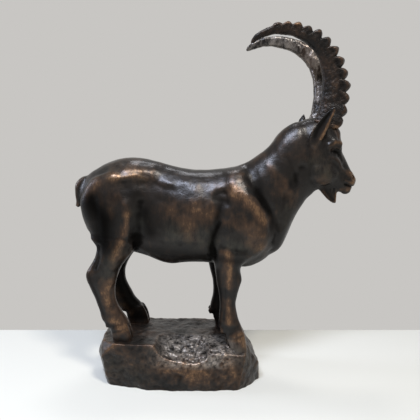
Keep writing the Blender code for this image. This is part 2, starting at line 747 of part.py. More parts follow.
def bronze():
    """Dark brown patina over bronze, waxed."""
    material = bpy.data.materials.new("dark_patinated_bronze")
    material.use_nodes = True
    surface = material.node_tree.nodes["Principled BSDF"]
    surface.inputs["Base Color"].default_value = (0.045, 0.03, 0.022, 1)
    surface.inputs["Metallic"].default_value = 0.6
    surface.inputs["Roughness"].default_value = 0.38
    return material


def main():
    """The casting, alone in its own collection."""
    for item in list(bpy.data.objects):
        bpy.data.objects.remove(item)
    whole = joined([flesh(), details(), rock()], "clay")
    whole = fused(whole, FINE_GRAIN, SEAM_SMOOTH_STEPS)
    modelled(whole)
    casting = lightened(whole, NAME)
    trimmed(casting.data)
    casting.data.materials.clear()
    casting.data.materials.append(bronze())
    casting.data.shade_smooth()
    home = bpy.data.collections.new(NAME)
    bpy.context.scene.collection.children.link(home)
    home.objects.link(casting)
    bpy.context.scene.collection.objects.unlink(casting)


main()
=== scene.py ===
"""Looks of the bronze ibex on its rock: goat, horns and rock as fine clay models, cast and patinated.

The goat faces +X with its right flank towards -Y. Drawings are in millimetres in the side view
(x forwards, z up), as in the part's own source; the finished meshes are in metres.
"""
import math

import bmesh
import bpy
import numpy as np
from mathutils import Matrix, Vector, noise


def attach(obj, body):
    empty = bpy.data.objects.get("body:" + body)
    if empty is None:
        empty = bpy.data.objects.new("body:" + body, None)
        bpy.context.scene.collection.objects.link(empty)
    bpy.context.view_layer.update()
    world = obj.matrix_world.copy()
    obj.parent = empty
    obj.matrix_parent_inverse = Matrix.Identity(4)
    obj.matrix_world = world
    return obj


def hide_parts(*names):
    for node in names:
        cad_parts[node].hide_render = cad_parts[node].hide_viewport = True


MM = 0.001
CASTING = "ibex_on_rock"
# Edge of the cubes that fuse overlapping bodies into one skin
FLESH_GRAIN = 1.5
SKIN_GRAIN = 1.32
STONE_GRAIN = 0.85
# Rounds of smoothing after that, and on single places
FLESH_SMOOTH_STEPS = 14
SEAM_SMOOTH_STEPS = 2
STONE_SMOOTH_STEPS = 4
HORN_SMOOTH_STEPS = 2
EAR_SMOOTH_STEPS = 5
NAPE_SMOOTH_STEPS = 14

# Ribs: low x, low z, high x, high z, half width, where the rib is widest (-1 low to 1 high)
TRUNK = [
    (-98, 172, -95, 203, 10, 0.0),
    (-94.5, 152, -84, 211, 21, 0.1),
    (-80, 136, -67, 219.2, 27.5, 0.1),
    (-60, 130, -48, 222.3, 28.5, 0.0),
    (-38, 125, -28, 219.5, 29, -0.2),
    (-14, 116.6, -8, 213.8, 31.5, -0.3),
    (8, 117.8, 12, 210.3, 32.5, -0.3),
    (30, 117.0, 34, 210.8, 32, -0.2),
    (50, 113.5, 54, 213.6, 31, -0.1),
    (68, 113.0, 72, 216, 28.5, -0.1),
    (85, 122, 88, 206, 22, -0.1),
    (97, 137, 98, 186, 12, 0.0),
]
NECK = [
    (60, 118, 36, 205, 27.5, -0.2),
    (83, 123, 52, 213, 27.5, -0.2),
    (97, 130, 66, 218.5, 25.5, -0.2),
    (105, 145, 76.5, 225.5, 22.5, -0.1),
    (110, 157.5, 85.5, 233, 19.5, 0.0),
    (116.2, 169.3, 94, 244, 18, 0.1),
    (123.6, 180.4, 103, 252.5, 17.5, 0.1),
    (131, 187.5, 113, 257.5, 16.5, 0.1),
]
HEAD = [
    (126, 187, 108, 252, 15, 0.2),
    (134, 190, 123, 260, 18, 0.3),
    (141, 190.5, 139.5, 261, 19, 0.4),
    (147.3, 189.6, 149.4, 256.5, 17.8, 0.4),
    (153, 188.4, 153.7, 247, 15.6, 0.4),
    (157, 187.4, 155.2, 238, 12.8, 0.3),
    (160.8, 186.6, 157.4, 229.5, 10.4, 0.2),
    (164.0, 186.6, 163.0, 219.5, 8.8, 0.1),
    (167, 188.0, 167.4, 210.5, 8.2, 0.0),
    (169.2, 192.0, 171.2, 204.5, 6.4, 0.0),
]
BEARD = [
    (134.5, 192, 153, 192, 6.0, 0.0),
    (138.8, 187.2, 154.2, 187.2, 4.6, 0.0),
    (143.0, 182, 154.0, 182, 3.8, 0.0),
    (147.6, 178, 153.8, 177.5, 2.6, 0.0),
]
HAUNCH = [
    (-92, 194, -54, 208, 12, 0.2),
    (-97.3, 180, -42, 188, 16, 0.2),
    (-94.2, 162, -40, 162, 16.5, 0.1),
    (-86.8, 146, -43, 142, 14, 0.0),
    (-81.5, 134, -51, 129, 11, 0.0),
]
SHOULDER = [
    (42, 200, 62, 202, 5, 0.0),
    (28, 186, 80, 188, 12.5, 0.0),
    (22, 162, 92, 164, 16.5, -0.1),
    (24, 142, 86, 138, 15.5, -0.1),
    (28, 128, 68, 122, 11.5, 0.0),
]
TAIL = [
    (-90, 205, -86, 196, 8.0, 0.0),
    (-99, 202.5, -92, 193, 7.0, 0.0),
    (-105.2, 196, -97, 190, 6.0, 0.0),
    (-105.8, 187, -98.5, 184.5, 5.2, 0.0),
    (-105.2, 180, -99.5, 178, 4.6, 0.0),
    (-106.0, 174.5, -101.5, 173.5, 3.4, 0.0),
]
# The middle of the haunch and the shoulder, from the goat's middle
FLANK_OFFSET = 15.5

# Rounded masses of the head: x, distance from the middle, z; then radii, and pitch in degrees
CHEEK = ((136, 10.2, 210), (18, 7.0, 15.5), 0)
BROW = ((143.5, 13.0, 238), (9.5, 6.5, 4.5), -14)
FOREHEAD = ((149.5, 8.0, 244), (5.5, 6.0, 7.0), 0)
NOSTRIL_SIDE = ((166.0, 5.0, 202), (4.2, 3.4, 4.0), 0)
EYEBALL = ((148.6, 13.8, 228.2), (3.1, 2.6, 2.8), 0)
CHIN = ((163.6, 0, 188.8), (5.0, 5.0, 3.6), 10)
# Where the neck carries the head, and the degrees it is turned and tilted there
NECK_TOP = (118, 0, 222)
HEAD_TURN = 7.5
HEAD_TILT = -5.0
# The part of the head with finer faces lies in front of x, above z and above x + z
FINE_HEAD = (119, 176, 340)
# The nape, behind the horns and between the ears, is smoothed over
NAPE = [(106, 249), (127, 261)]

# Legs: joint and foot (x, distance from the middle, z), then the ribs of the leg and of each toe
# (back x, back z, front x, front z, half width)
NEAR_HIND = ((-66, -19, 140), (-58.2, -20, 45), [
    (-88, 146, -42, 142, 12.5),
    (-82.5, 136, -47.5, 131, 11.2),
    (-84.4, 126, -53.5, 123.5, 9.8),
    (-88.4, 118.5, -58.3, 117, 8.8),
    (-93.0, 110.5, -61.8, 109, 8.2),
    (-92.6, 103.5, -64.2, 101.5, 8.1),
    (-89.4, 95.5, -65.1, 93.5, 7.4),
    (-86.0, 87.6, -64.8, 86, 6.7),
    (-82.9, 79, -62.5, 78.5, 6.8),
    (-80.6, 71.5, -58.5, 71.5, 7.4),
    (-78.6, 63.5, -54.4, 66, 8.0),
    (-72.5, 55.5, -51.6, 59.5, 8.2),
], [
    (-70, 58, -54.5, 62, 3.6),
    (-69.5, 52, -51.8, 56.5, 4.6),
    (-68, 46, -49.2, 48.0, 4.9),
    (-67.5, 40, -48.6, 41, 4.9),
])
FAR_HIND = ((-66, 19, 140), (-52, 30.5, 45), [
    (-88, 146, -42, 142, 12.5),
    (-82.5, 136, -46, 131, 11.2),
    (-83, 126, -52.5, 122, 9.8),
    (-86, 118.5, -57.5, 114.5, 8.8),
    (-89, 110.5, -60.8, 107, 8.2),
    (-88, 103.5, -62.2, 100, 8.1),
    (-85.5, 95.5, -61.5, 92, 7.4),
    (-82.5, 87.6, -59.0, 85.5, 6.8),
    (-79.5, 79.0, -56.0, 78.5, 7.2),
    (-76.5, 70.5, -52.2, 71, 7.8),
    (-72.5, 62.5, -47.6, 65.8, 8.2),
    (-66.5, 55.5, -43.6, 60, 8.2),
], [
    (-62.5, 58, -44.5, 63, 3.6),
    (-62, 52, -41.2, 57.5, 4.6),
    (-60.5, 46, -38.6, 48.5, 4.9),
    (-60, 40, -37.6, 41, 4.9),
])
NEAR_FORE = ((48, -19, 132), (54, -25.5, 37), [
    (27, 138, 72, 128, 12.5),
    (29.5, 128, 62, 121, 11),
    (32, 119, 57.8, 114.5, 9.8),
    (33.2, 111, 58.6, 108, 9.0),
    (34.2, 102, 58.9, 102.5, 8.5),
    (36.2, 93.5, 55.8, 93.5, 7.6),
    (37.4, 84, 53.9, 84.5, 7.0),
    (37.5, 75.5, 53.5, 76, 7.0),
    (36.4, 66, 55.3, 67.5, 7.7),
    (36.6, 58.5, 58.6, 59, 8.2),
    (40.8, 50.5, 61.2, 53, 8.2),
], [
    (43, 54, 60, 55, 3.6),
    (42.5, 48, 62, 50, 4.6),
    (44.5, 42, 63.4, 43, 4.9),
    (45.5, 36, 64.5, 36, 4.9),
    (46, 31, 64.5, 31, 4.9),
])
FAR_FORE = ((48, 19, 132), (46, 25.5, 44), [
    (25, 138, 70, 128, 12.5),
    (25, 128, 57, 121, 11),
    (25.8, 119, 52, 114.5, 9.8),
    (26.5, 111, 52.4, 108, 9.0),
    (28.4, 102, 52.8, 102.5, 8.5),
    (30.4, 93.5, 49.8, 93.5, 7.6),
    (31.3, 84, 47.8, 84.5, 7.0),
    (30.9, 75.5, 47.2, 76, 7.0),
    (28.6, 66.5, 48.6, 67.5, 7.7),
    (28.2, 59.5, 51.5, 60.5, 8.2),
    (30.4, 53.0, 54.0, 55.5, 8.2),
], [
    (31.5, 57, 53, 58, 3.6),
    (31.5, 51, 55, 52.5, 4.6),
    (33.5, 46, 56.5, 46, 4.9),
    (34.5, 40, 57, 40, 4.9),
])
LEGS = (NEAR_HIND, FAR_HIND, NEAR_FORE, FAR_FORE)
# The middle of each toe, from the middle of its leg
TOE_OFFSET = 4.6
# Dewclaw: behind and above the toe's first point, and its radii
DEWCLAW_BACK = 2.6
DEWCLAW_UP = 1.5
DEWCLAW = (2.6, 2.3, 3.6)

# The ear: back x, back z, front x, front z, half thickness, distance from the middle, curl of the edges
EAR = [
    (121.0, 232.5, 128.5, 229.0, 3.6, 15.0, 0.0),
    (120.4, 239.5, 131.0, 234.5, 3.2, 17.5, 1.4),
    (121.8, 246.0, 134.8, 242.0, 2.5, 20.0, 2.2),
    (125.8, 252.6, 138.2, 249.8, 2.2, 22.5, 2.4),
    (131.2, 259.2, 141.0, 257.0, 2.0, 24.5, 2.0),
    (136.6, 264.8, 142.4, 263.0, 1.8, 26.0, 1.3),
    (140.9, 268.0, 142.9, 267.2, 1.4, 27.0, 0.3),
]
FAR_EAR_LAID_BACK = 12.4
EAR_SIDES = 32

# The horn at even steps from root to tip: inner and outer depth, half width, share of the knobs' height
HORN = [
    (16.2, 8.2, 7.5, 0.35),
    (11.6, 10.4, 6.6, 1.0),
    (5.2, 8.6, 5.6, 1.0),
    (4.6, 4.8, 4.7, 0.45),
    (2.5, 2.7, 3.4, 0.2),
]
HORN_ROOT = (142.8, 0.0, 251.6)
HORN_LENGTH = 151.0
FAR_HORN_LENGTH = 144.0
HORN_ROOT_GAP = 21.5
HORN_SPREAD = 45.0
HORN_ROOT_LEAN = math.radians(72.3)
HORN_TIP_LEAN = math.radians(228.0)
HORN_EVEN_CURL = 0.56
HORN_POINT_START = 0.93
HORN_STEPS = 100
HORN_SIDES = 80
KNOB_COUNT = 13
KNOB_HEIGHT = 5.9
KNOB_START = -0.005
KNOB_END = 0.84
KNOB_LAG = 0.03
KNOB_SLANT = 0.012
KNOB_UNEVENNESS = 0.35
KNOB_BLUNTNESS = 1.9
KNOB_BULGE = 0.3
HORN_SQUARENESS = 0.8
HORN_FRONT_SWELL = 0.22
# Uneven surface of the horns: size of the lumps and their height
HORN_SWELLS = ((7.0, 0.5), (3.0, 0.3), (1.6, 0.12))
# The far horn's knobs sit on its outer side, behind a smooth ridge
FAR_KNOBS_TURNED = math.radians(42)
FAR_RIDGE = 3.6

# Corners of the rock, and of the space struck out of its near side: x, y, z
ROCK = [
    (-75, -23, 0), (-70, -30, 0), (-26, -41.5, 0), (14, -43, 0), (55, -41.5, 0), (64, -35, 0),
    (80, -16, 0), (77, 22, 0), (58, 41, 0), (0, 44, 0), (-55, 43, 0), (-76, 26, 0),
    (-87, -10, 28), (-80, -33, 30), (-28, -43, 24), (16, -44.5, 14), (60, -42, 16), (78, -21, 20),
    (74, 22, 20), (-60, 44.5, 24), (0, 44.5, 24), (56, 42, 24),
    (-79, -23, 43), (-66, -36.5, 44.6), (-31, -39.5, 44.4), (32, -41, 36), (63, -38, 33),
    (65, -28, 39), (62, 8, 42.6), (57, 30, 41.6), (35, 38, 42), (-41, 44, 42.4), (-66, 42, 42),
    (-82, 14, 42.6),
]
SCOOP = [
    (-31, -52, 62), (-26, -52, 40), (-17, -52, 30), (-6, -52, 26), (16, -52, 22), (23, -52, 25),
    (30, -52, 36), (40, -52, 62),
    (-28, -8, 62), (-24, -14, 43.0), (-14, -7, 43.6), (10, -9, 43.4), (24, -16, 42.6), (34, -12, 62),
]
# Drawn 167 long, made 163.5 long
ROCK_STRETCH = 163.5 / 167
# Made this much deeper at first, then cut flat
BED_DEPTH = 6.0
# Broken stone: size of the lumps and their height
STONE_SWELLS = ((16.0, 1.9), (6.0, 0.7), (2.6, 0.2))
# Chisel marks in the hollow: size of the facets and how steeply they are tilted
STRUCK_FACETS = ((5.0, 0.38), (2.0, 0.46))
FACET_SEED = 5
STRUCK_MIDDLE = 14.0
STRUCK_HALF_WIDTH = 37.0
# Half width of the painted highlight across the struck hollow
HIGHLIGHT_HALF_WIDTH = 35.0
# Share of the broken-stone lumps that is left on the rock's trodden top
TOP_SWELL = 0.22

# Strokes of the modelling tool: side-view path, reach, height (negative for a hollow), and for some
# the distance from the middle below which the stroke is kept off
BODY_STROKES = [
    ([(60, 217), (72, 195.5), (85, 172), (92, 147), (90, 130)], 5.5, -2.6),
    ([(40, 182), (37, 174), (33, 155), (30, 142), (30, 128)], 5, -2.0),
    ([(35, 183), (38, 188), (46, 192)], 3.5, -1.0),
    ([(-30, 200), (-22, 185), (-20, 171), (-24, 152)], 14, -3.0),
    ([(-50, 178), (-50, 154), (-59, 135), (-66, 119)], 5.5, 2.0),
    ([(-37, 180), (-38, 165), (-40, 147), (-46, 134)], 6.5, -2.8),
    ([(-62, 206), (-43, 209), (-30, 207)], 7, 2.2),
    ([(-37, 141), (-20, 138.5), (-5, 137.5), (28, 135.5)], 7, -1.0),
    ([(-82, 184), (-79, 160), (-78, 138)], 5, -1.8),
    ([(-79.5, 138), (-79, 126), (-82, 117)], 2.6, -1.8),
    ([(53, 195), (72, 173), (73, 149)], 8, 1.6),
    ([(44, 160), (46, 140), (44, 118)], 6, 1.0),
    ([(115, 212), (100, 183), (96, 160)], 6, -1.8),
    ([(49, 206), (60, 209)], 7, 1.6),
    ([(10, 200), (14, 175), (10, 150)], 9, 1.0),
    ([(-24, 199), (-16, 193.5), (-8, 192)], 2.8, -0.4),
    ([(-14, 200), (-4, 197), (6, 199)], 2.6, 0.3),
    ([(32, 185), (35.5, 190), (41, 191), (45, 185.5), (45, 178.5)], 2.8, -0.7),
    ([(62, 205), (70, 195), (78, 182), (88, 167), (93, 155), (89, 141)], 2.6, -0.5),
    ([(37.5, 162), (31, 148), (30, 138), (32, 129)], 2.0, -0.9),
    ([(-44, 148), (-16, 142.5), (0, 140.5)], 3.0, -0.4),
    ([(-27, 203), (-18, 198), (-8, 197)], 2.4, 0.3),
    ([(-30, 128), (-18, 121.5), (-6, 121)], 3.0, 0.8),
    ([(-58, 203), (-44, 205.5), (-32, 202.5)], 2.2, 0.7),
    ([(-86, 150), (-72, 141), (-60, 142)], 3.0, -0.5),
    ([(-62, 150), (-68, 138), (-76, 124)], 2.2, 0.6),
    ([(102, 222), (110, 206), (112, 196)], 3.0, -0.6),
    ([(84, 214), (96, 204), (104, 190)], 4.0, 0.7),
]
HEAD_STROKES = [
    ([(144.5, 227), (149, 226), (153, 224)], 4.2, -3.2),
    ([(152.5, 224), (158, 213)], 3.4, -1.4),
    ([(140, 232.5), (146, 235.5), (153, 234.5)], 2.6, 1.5),
    ([(160.8, 194.9), (164.0, 193.4), (170, 192.6)], 1.3, -0.5),
    ([(150, 212), (157, 204), (160, 199)], 4.0, -0.8),
    ([(123.5, 240.5), (127.5, 248.5), (133.5, 257), (138, 263)], 2.6, -1.6, 15),
]
# The same, cut with a fine tool
FINE_STROKES = [
    ([(144.4, 228.4), (147.4, 230.8), (151.4, 229.6)], 0.9, 0.8, 1),
    ([(144.6, 225.4), (147.8, 223.8), (151.5, 225.4)], 0.9, 0.5, 1),
    ([(152.2, 225.2), (153.8, 222.0), (155.2, 218.5)], 1.1, -0.6, 1),
    ([(144.5, 220.5), (151.0, 216.0), (157.0, 209.0)], 2.4, 0.5, 1),
    ([(168.4, 203.8), (169.6, 202.4), (168.8, 200.6)], 1.0, -1.5, 1),
    ([(165.0, 206.6), (168.4, 207.0), (170.8, 205.4)], 1.3, 0.6, 1),
    ([(160.0, 195.2), (163.7, 193.4), (170.0, 192.6)], 0.75, -0.55, 0),
    ([(160.0, 198.6), (164.5, 197.0), (169.6, 196.4)], 1.2, 0.4, 0),
    ([(130.4, 238.4), (134.1, 246.4), (137.6, 255.6), (141.3, 263.4)], 1.1, 0.9, 15),
    ([(121.2, 242.5), (124.6, 250.2), (131.0, 259.0), (138.0, 265.6)], 0.9, 0.45, 15),
    ([(141.5, 190.0), (149.0, 179.5)], 0.9, -0.5, 0),
    ([(145.5, 190.5), (150.6, 179.5)], 0.9, -0.5, 0),
    ([(149.5, 190.5), (152.2, 180.5)], 0.9, -0.5, 0),
    ([(146.5, 250.0), (149.5, 243.0), (149.0, 238.5)], 1.3, -0.5, 1),
    ([(143.0, 246.5), (146.0, 241.0)], 1.1, -0.4, 1),
    ([(138.0, 236.0), (134.0, 229.0), (137.0, 221.0)], 2.4, -0.5, 1),
]
NEAR_LEG_STROKES = [
    ([(-84, 98), (-79.5, 84), (-76, 72)], 1.6, -0.5, 1),
    ([(-74, 112), (-79, 103), (-77, 92)], 2.6, 0.5, 1),
    ([(-66, 98), (-68.5, 88), (-66, 76)], 1.8, -0.4, 1),
    ([(-77, 62), (-68, 59.5), (-58, 60.5)], 2.0, -0.4, 1),
    ([(-70, 53.5), (-60, 54.5), (-51.5, 58)], 1.0, -0.4, 1),
    ([(42.5, 97), (43, 80), (41.5, 68)], 1.5, -0.5, 1),
    ([(49.5, 123), (46, 110), (45.5, 98)], 2.4, 0.5, 1),
    ([(38, 62), (47, 58), (56, 60)], 1.9, -0.35, 1),
    ([(43, 49), (52, 48.5), (62.5, 52)], 1.0, -0.45, 1),
]
FAR_LEG_STROKES = [
    ([(-80, 98), (-76, 84), (-72, 72)], 1.6, -0.5, 1),
    ([(-70, 112), (-75, 103), (-73, 92)], 2.6, 0.5, 1),
    ([(-71, 63), (-60, 60), (-51, 62)], 2.0, -0.4, 1),
    ([(-62, 53.5), (-52, 54.5), (-41.5, 59)], 1.0, -0.4, 1),
    ([(36.5, 97), (36.5, 80), (34.5, 68)], 1.5, -0.5, 1),
    ([(43.5, 123), (40, 110), (39.5, 98)], 2.4, 0.5, 1),
    ([(30, 62), (40, 58), (49, 60)], 1.9, -0.35, 1),
    ([(32, 51), (44, 50.5), (55, 54.5)], 1.0, -0.45, 1),
]
# Marks of the modeller's thumb and tool all over the clay: size and height
THUMB_MARKS = ((11.0, 0.3), (5.0, 0.14))

# Looks of the patina, each by side-view path, reach and strength, on the body and on the turned head:
# rubbed down to brown metal, filmed over with dull grey-green, and darkened as painted shade in the
# grooves and hollows, on the haunch and the belly and along the sides of the legs
RUBBED = [
    ([(-68, 206), (-50, 210), (-34, 206)], 9, 0.5),
    ([(-88, 188), (-78, 200)], 7, 0.65),
    ([(-66, 174), (-64, 170)], 4, 0.6),
    ([(-49, 170), (-52, 158), (-60, 140), (-66, 128)], 4.5, 0.75),
    ([(-8, 174), (4, 162), (10, 152)], 10, 0.6),
    ([(12, 176), (30, 166)], 9, 0.7),
    ([(50, 192), (64, 181), (80, 164)], 7, 0.85),
    ([(52, 164), (70, 154)], 11, 0.5),
    ([(66, 142), (80, 136)], 7, 0.6),
    ([(88, 206), (99, 194), (107, 182)], 9, 0.45),
    ([(44, 134), (47, 118), (46, 100)], 5, 0.8),
    ([(45, 84), (46, 64)], 4, 0.7),
    ([(-70, 104), (-74, 90), (-69, 74)], 4.5, 0.6),
    ([(-66, 64), (-58, 57)], 5, 0.9),
    ([(52, 50), (60, 44)], 5, 0.65),
    ([(-14, 24), (20, 17)], 14, 0.8),
    ([(44, 28), (56, 14)], 9, 0.7),
    ([(-66, 30), (-50, 24)], 9, 0.35),
    ([(72, 342), (92, 349), (110, 347)], 5, 0.8),
]
HEAD_RUBBED = [
    ([(130.4, 238.4), (134.1, 246.4), (137.6, 255.6), (141.3, 264.4)], 1.5, 1.0),
    ([(142, 229), (146, 234.5), (153, 235.5)], 3.0, 0.8),
    ([(163, 207), (171, 203), (168, 196)], 4.5, 0.9),
    ([(156, 189.5), (166, 190)], 2.6, 0.8),
    ([(150, 218), (156, 208)], 6.0, 0.45),
    ([(152.6, 190), (152.8, 179)], 1.6, 0.7),
    ([(126, 200), (134, 194)], 4.0, 0.3),
    ([(147.5, 250), (150, 240)], 3.5, 0.8),
    ([(124, 224), (140, 212)], 9.0, 0.4),
    ([(152, 206), (160, 200)], 4.0, 0.45),
]
FILMED = [
    ([(-8, 152), (12, 147), (27, 145)], 10, 0.9),
    ([(48, 141), (68, 138)], 8, 0.8),
    ([(-60, 134), (-72, 112)], 7, 0.8),
    ([(-42, 172), (-36, 162)], 8, 0.5),
    ([(104, 176), (96, 158)], 8, 0.5),
    ([(-70, 20), (-40, 14)], 12, 0.5),
    ([(60, 34), (74, 16)], 9, 0.6),
    ([(-70, 206), (-54, 210), (-38, 206)], 8, 0.7),
]
HEAD_FILMED = [
    ([(128, 216), (136, 208), (142, 204)], 8, 0.8),
]
# Painted shade on the body: grooves of the neck, shoulder and belly, the flank hollow, the haunch and the
# sides of the legs
PAINTED_SHADE = [
    ([(64, 203), (72, 194), (80, 180), (90, 164), (94, 152)], 3.0, 0.6),
    ([(32, 152), (30, 138), (33, 126)], 4.0, 0.8),
    ([(-46, 124), (-20, 118), (20, 118)], 5.0, 0.9),
    ([(-88, 150), (-84, 132), (-88, 122)], 5.0, 0.6),
    ([(-30, 178), (-25, 160)], 9.0, 0.4),
    ([(-84, 182), (-72, 164), (-74, 140)], 12.5, 0.95),
    ([(-34, 172), (-29, 152)], 8.0, 0.7),
    ([(-64, 186), (-40, 190)], 7.0, 0.5),
    ([(-40, 134), (20, 128)], 6.0, 0.5),
    ([(86, 138), (92, 150)], 5.0, 0.3),
    ([(35, 114), (38, 84), (36, 62)], 3.0, 0.7),
    ([(59, 108), (54, 80), (57, 62)], 2.4, 0.5),
    ([(-91, 110), (-81, 78), (-76, 60)], 3.4, 0.65),
    ([(-63, 106), (-62, 82)], 2.4, 0.5),
    ([(30, 128), (66, 122)], 4.0, 0.4),
]
# Painted shade on the head: eye socket, mouth, nostril, ear hollows and beard
HEAD_PAINTED_SHADE = [
    ([(146.0, 226.8), (150.5, 225.6)], 2.6, 0.95),
    ([(152.6, 224.0), (154.6, 217.0)], 1.6, 0.6),
    ([(160.0, 195.2), (163.7, 193.3), (170.0, 192.6)], 0.9, 0.85),
    ([(169.2, 202.6), (168.8, 201.0)], 1.1, 1.0),
    ([(124.5, 238.5), (127.5, 247.5), (133.5, 256.5), (137.0, 261.5)], 2.4, 0.8),
    ([(136.0, 240.0), (139.0, 250.0), (142.0, 258.0)], 1.8, 0.7),
    ([(140.0, 191.0), (149.0, 180.0)], 3.5, 0.6),
]


# How far the patina is worn on what stands out and blackened in what lies in: the rounds of
# smoothing that the surface is compared with, then the height or depth, in millimetres, and the effect
RELIEF_STEPS = (8, 42)
FINE_WORN = (0.3, 0.5)
BROAD_WORN = (2.0, 0.5)
FINE_BLACK = (0.25, 0.45)
BROAD_BLACK = (1.4, 0.5)
# Painted shade on faces turned down, and on faces low on the body turned in towards the middle
DOWN_AND_IN_SHADE = 0.85
# Layers stored on the pieces: worn, black (hollow patina and painted shade), rubbed, filmed, and painted
# highlight
PATINA_AND_PAINTED_LIGHT_LAYERS = ("worn", "black", "rubbed", "filmed", "painted_highlight")

# Patches of the patina to the metre: about 33 mm, 5 mm and 1.2 mm wide, and wrinkles of 6 mm
CLOUDS = 30.0
MOTTLES = 190.0
GRAINS = 800.0
WRINKLES = 170.0
RELIEF_DEPTH = 0.0006

# The photograph: focal length and width in pixels, place of the camera, degrees it looks down
FOCAL_PIXELS = 500
PICTURE_PIXELS = 420
CAMERA_PLACE = (0.028, -0.4952, 0.2391)
CAMERA_PITCH = 7.97
SENSOR_WIDTH = 36.0

TABLE_SIZE = (3.2, 1.6, 0.04)
TABLE_MIDDLE = (0, -0.687, -0.02)
ROOM_LIGHT = 0.14


def ramp(values, start, run):
    """0 up to the start, rising to 1 over the run; a run below 0 goes the other way."""
    return np.clip((values - start) / run, 0, 1)


def seen_in(frame, points):
    """The points in the coordinates of a frame."""
    back = np.array(frame.inverted())
    return points @ back[:3, :3].T + back[:3, 3]


def smooth_rows(rows, steps):
    """Rows on a smooth curve through the given rows, with some steps between each two."""
    rows = np.array(rows, float)
    before = np.vstack([2 * rows[0] - rows[1], rows[:-1]])
    after = np.vstack([rows[1:], 2 * rows[-1] - rows[-2]])
    slope = (after - before) / 2
    result = []
    for index in range(len(rows) - 1):
        for step in range(steps):
            t = step / steps
            start_part = (1 + 2 * t) * (1 - t) ** 2 * rows[index] + t * (1 - t) ** 2 * slope[index]
            end_part = t * t * (3 - 2 * t) * rows[index + 1] + t * t * (t - 1) * slope[index + 1]
            result.append(start_part + end_part)
    result.append(rows[-1])
    return result


def skin(bm, rings):
    """Closed body through rings of points: a grid rolled up, with a low dome drawn over each end."""
    loops = list(rings)
    for place, ring, inner in ((0, rings[0], rings[1]), (len(rings) + 1, rings[-1], rings[-2])):
        centre = sum(ring, Vector()) / len(ring)
        outward = (centre - sum(inner, Vector()) / len(inner)).normalized()
        reach = min((point - centre).length for point in ring)
        loops.insert(place, [centre + (point - centre) * 0.6 + outward * reach * 0.5 for point in ring])
        loops.insert(0 if place == 0 else len(loops), [centre + outward * reach * 0.62] * len(ring))
    sides = len(rings[0])
    rows = len(loops) - 1
    grid = bmesh.ops.create_grid(bm, x_segments=sides, y_segments=rows, size=1)["verts"]
    for vert in grid:
        column = round((vert.co.x + 1) / 2 * sides)
        row = round((vert.co.y + 1) / 2 * rows)
        vert.co = loops[row][column % sides]
    faces = list({face for vert in grid for face in vert.link_faces})
    bmesh.ops.remove_doubles(bm, verts=grid, dist=0.0001)
    bmesh.ops.recalc_face_normals(bm, faces=[face for face in faces if face.is_valid])


def loft(bm, ribs, matrix, side=0.0, fullness=0.9, steps=5, sides=32):
    """Body through ribs drawn in the side view, centred on the given distance from the middle."""
    rings = []
    for row in smooth_rows([tuple(rib) + (0.0,) * (6 - len(rib)) for rib in ribs], steps):
        low = Vector((row[0], side, row[1]))
        high = Vector((row[2], side, row[3]))
        ring = []
        for step in range(sides):
            angle = 2 * math.pi * step / sides
            up = math.copysign(abs(math.cos(angle)) ** fullness, math.cos(angle))
            out = math.copysign(abs(math.sin(angle)) ** fullness, math.sin(angle))
            swell = 1 + 0.5 * row[5] * up - 0.12 * abs(row[5])
            beside = Vector((0, row[4] * out * swell, 0))
            ring.append(matrix @ ((low + high) / 2 + (high - low) / 2 * up + beside))
        rings.append(ring)
    skin(bm, rings)


def lump(bm, centre, radii, matrix, pitch=0.0):
    """Egg-shaped mass, pitched in the side view."""
    turn = Matrix.Rotation(-math.radians(pitch), 4, "Y")
    place = matrix @ Matrix.Translation(Vector(centre)) @ turn @ Matrix.Diagonal((*radii, 1))
    bmesh.ops.create_uvsphere(bm, u_segments=24, v_segments=16, radius=1.0, matrix=place)


def as_object(bm, name):
    """New object in the scene from a working mesh."""
    mesh = bpy.data.meshes.new(name)
    bm.to_mesh(mesh)
    bm.free()
    made = bpy.data.objects.new(name, mesh)
    bpy.context.scene.collection.objects.link(made)
    return made


def applied(source):
    """The same object with its modifiers applied."""
    graph = bpy.context.evaluated_depsgraph_get()
    mesh = bpy.data.meshes.new_from_object(source.evaluated_get(graph))
    source.modifiers.clear()
    source.data = mesh
    return source


def fused(source, grain, rounds):
    """One closed skin around overlapping bodies, with its seams smoothed."""
    remesh = source.modifiers.new("fuse", "REMESH")
    remesh.mode = "VOXEL"
    remesh.voxel_size = grain * MM
    applied(source)
    points, _ = arrays(source.data)
    relax(source.data, points, rounds)
    store(source.data, points)
    return source


def arrays(mesh):
    """Vertex positions in millimetres, and vertex normals."""
    points = np.empty(len(mesh.vertices) * 3)
    mesh.vertices.foreach_get("co", points)
    normals = np.empty(len(mesh.vertices) * 3)
    mesh.vertex_normals.foreach_get("vector", normals)
    return points.reshape(-1, 3) / MM, normals.reshape(-1, 3)


def store(mesh, points):
    """Put positions, in millimetres, back into the mesh."""
    mesh.vertices.foreach_set("co", (points * MM).ravel())
    mesh.update()


def neighbour_mean(mesh, values):
    """For each vertex, the mean of the values at its neighbours."""
    edges = np.empty(len(mesh.edges) * 2, int)
    mesh.edges.foreach_get("vertices", edges)
    first, second = edges.reshape(-1, 2).T
    count = np.bincount(first, minlength=len(values)) + np.bincount(second, minlength=len(values))
    total = np.zeros_like(values)
    for axis in range(values.shape[1]):
        total[:, axis] += np.bincount(first, values[second, axis], len(values))
        total[:, axis] += np.bincount(second, values[first, axis], len(values))
    return total / count[:, None]


def relax(mesh, points, rounds):
    """Even out the surface, with alternate outward steps that keep its volume."""
    for _ in range(rounds):
        for share in (0.55, -0.53):
            points += (neighbour_mean(mesh, points) - points) * share


def soften(mesh, points, weight, rounds):
    """Even out the surface where the weight is."""
    for _ in range(rounds):
        points += (neighbour_mean(mesh, points) - points) * (0.5 * weight)[:, None]


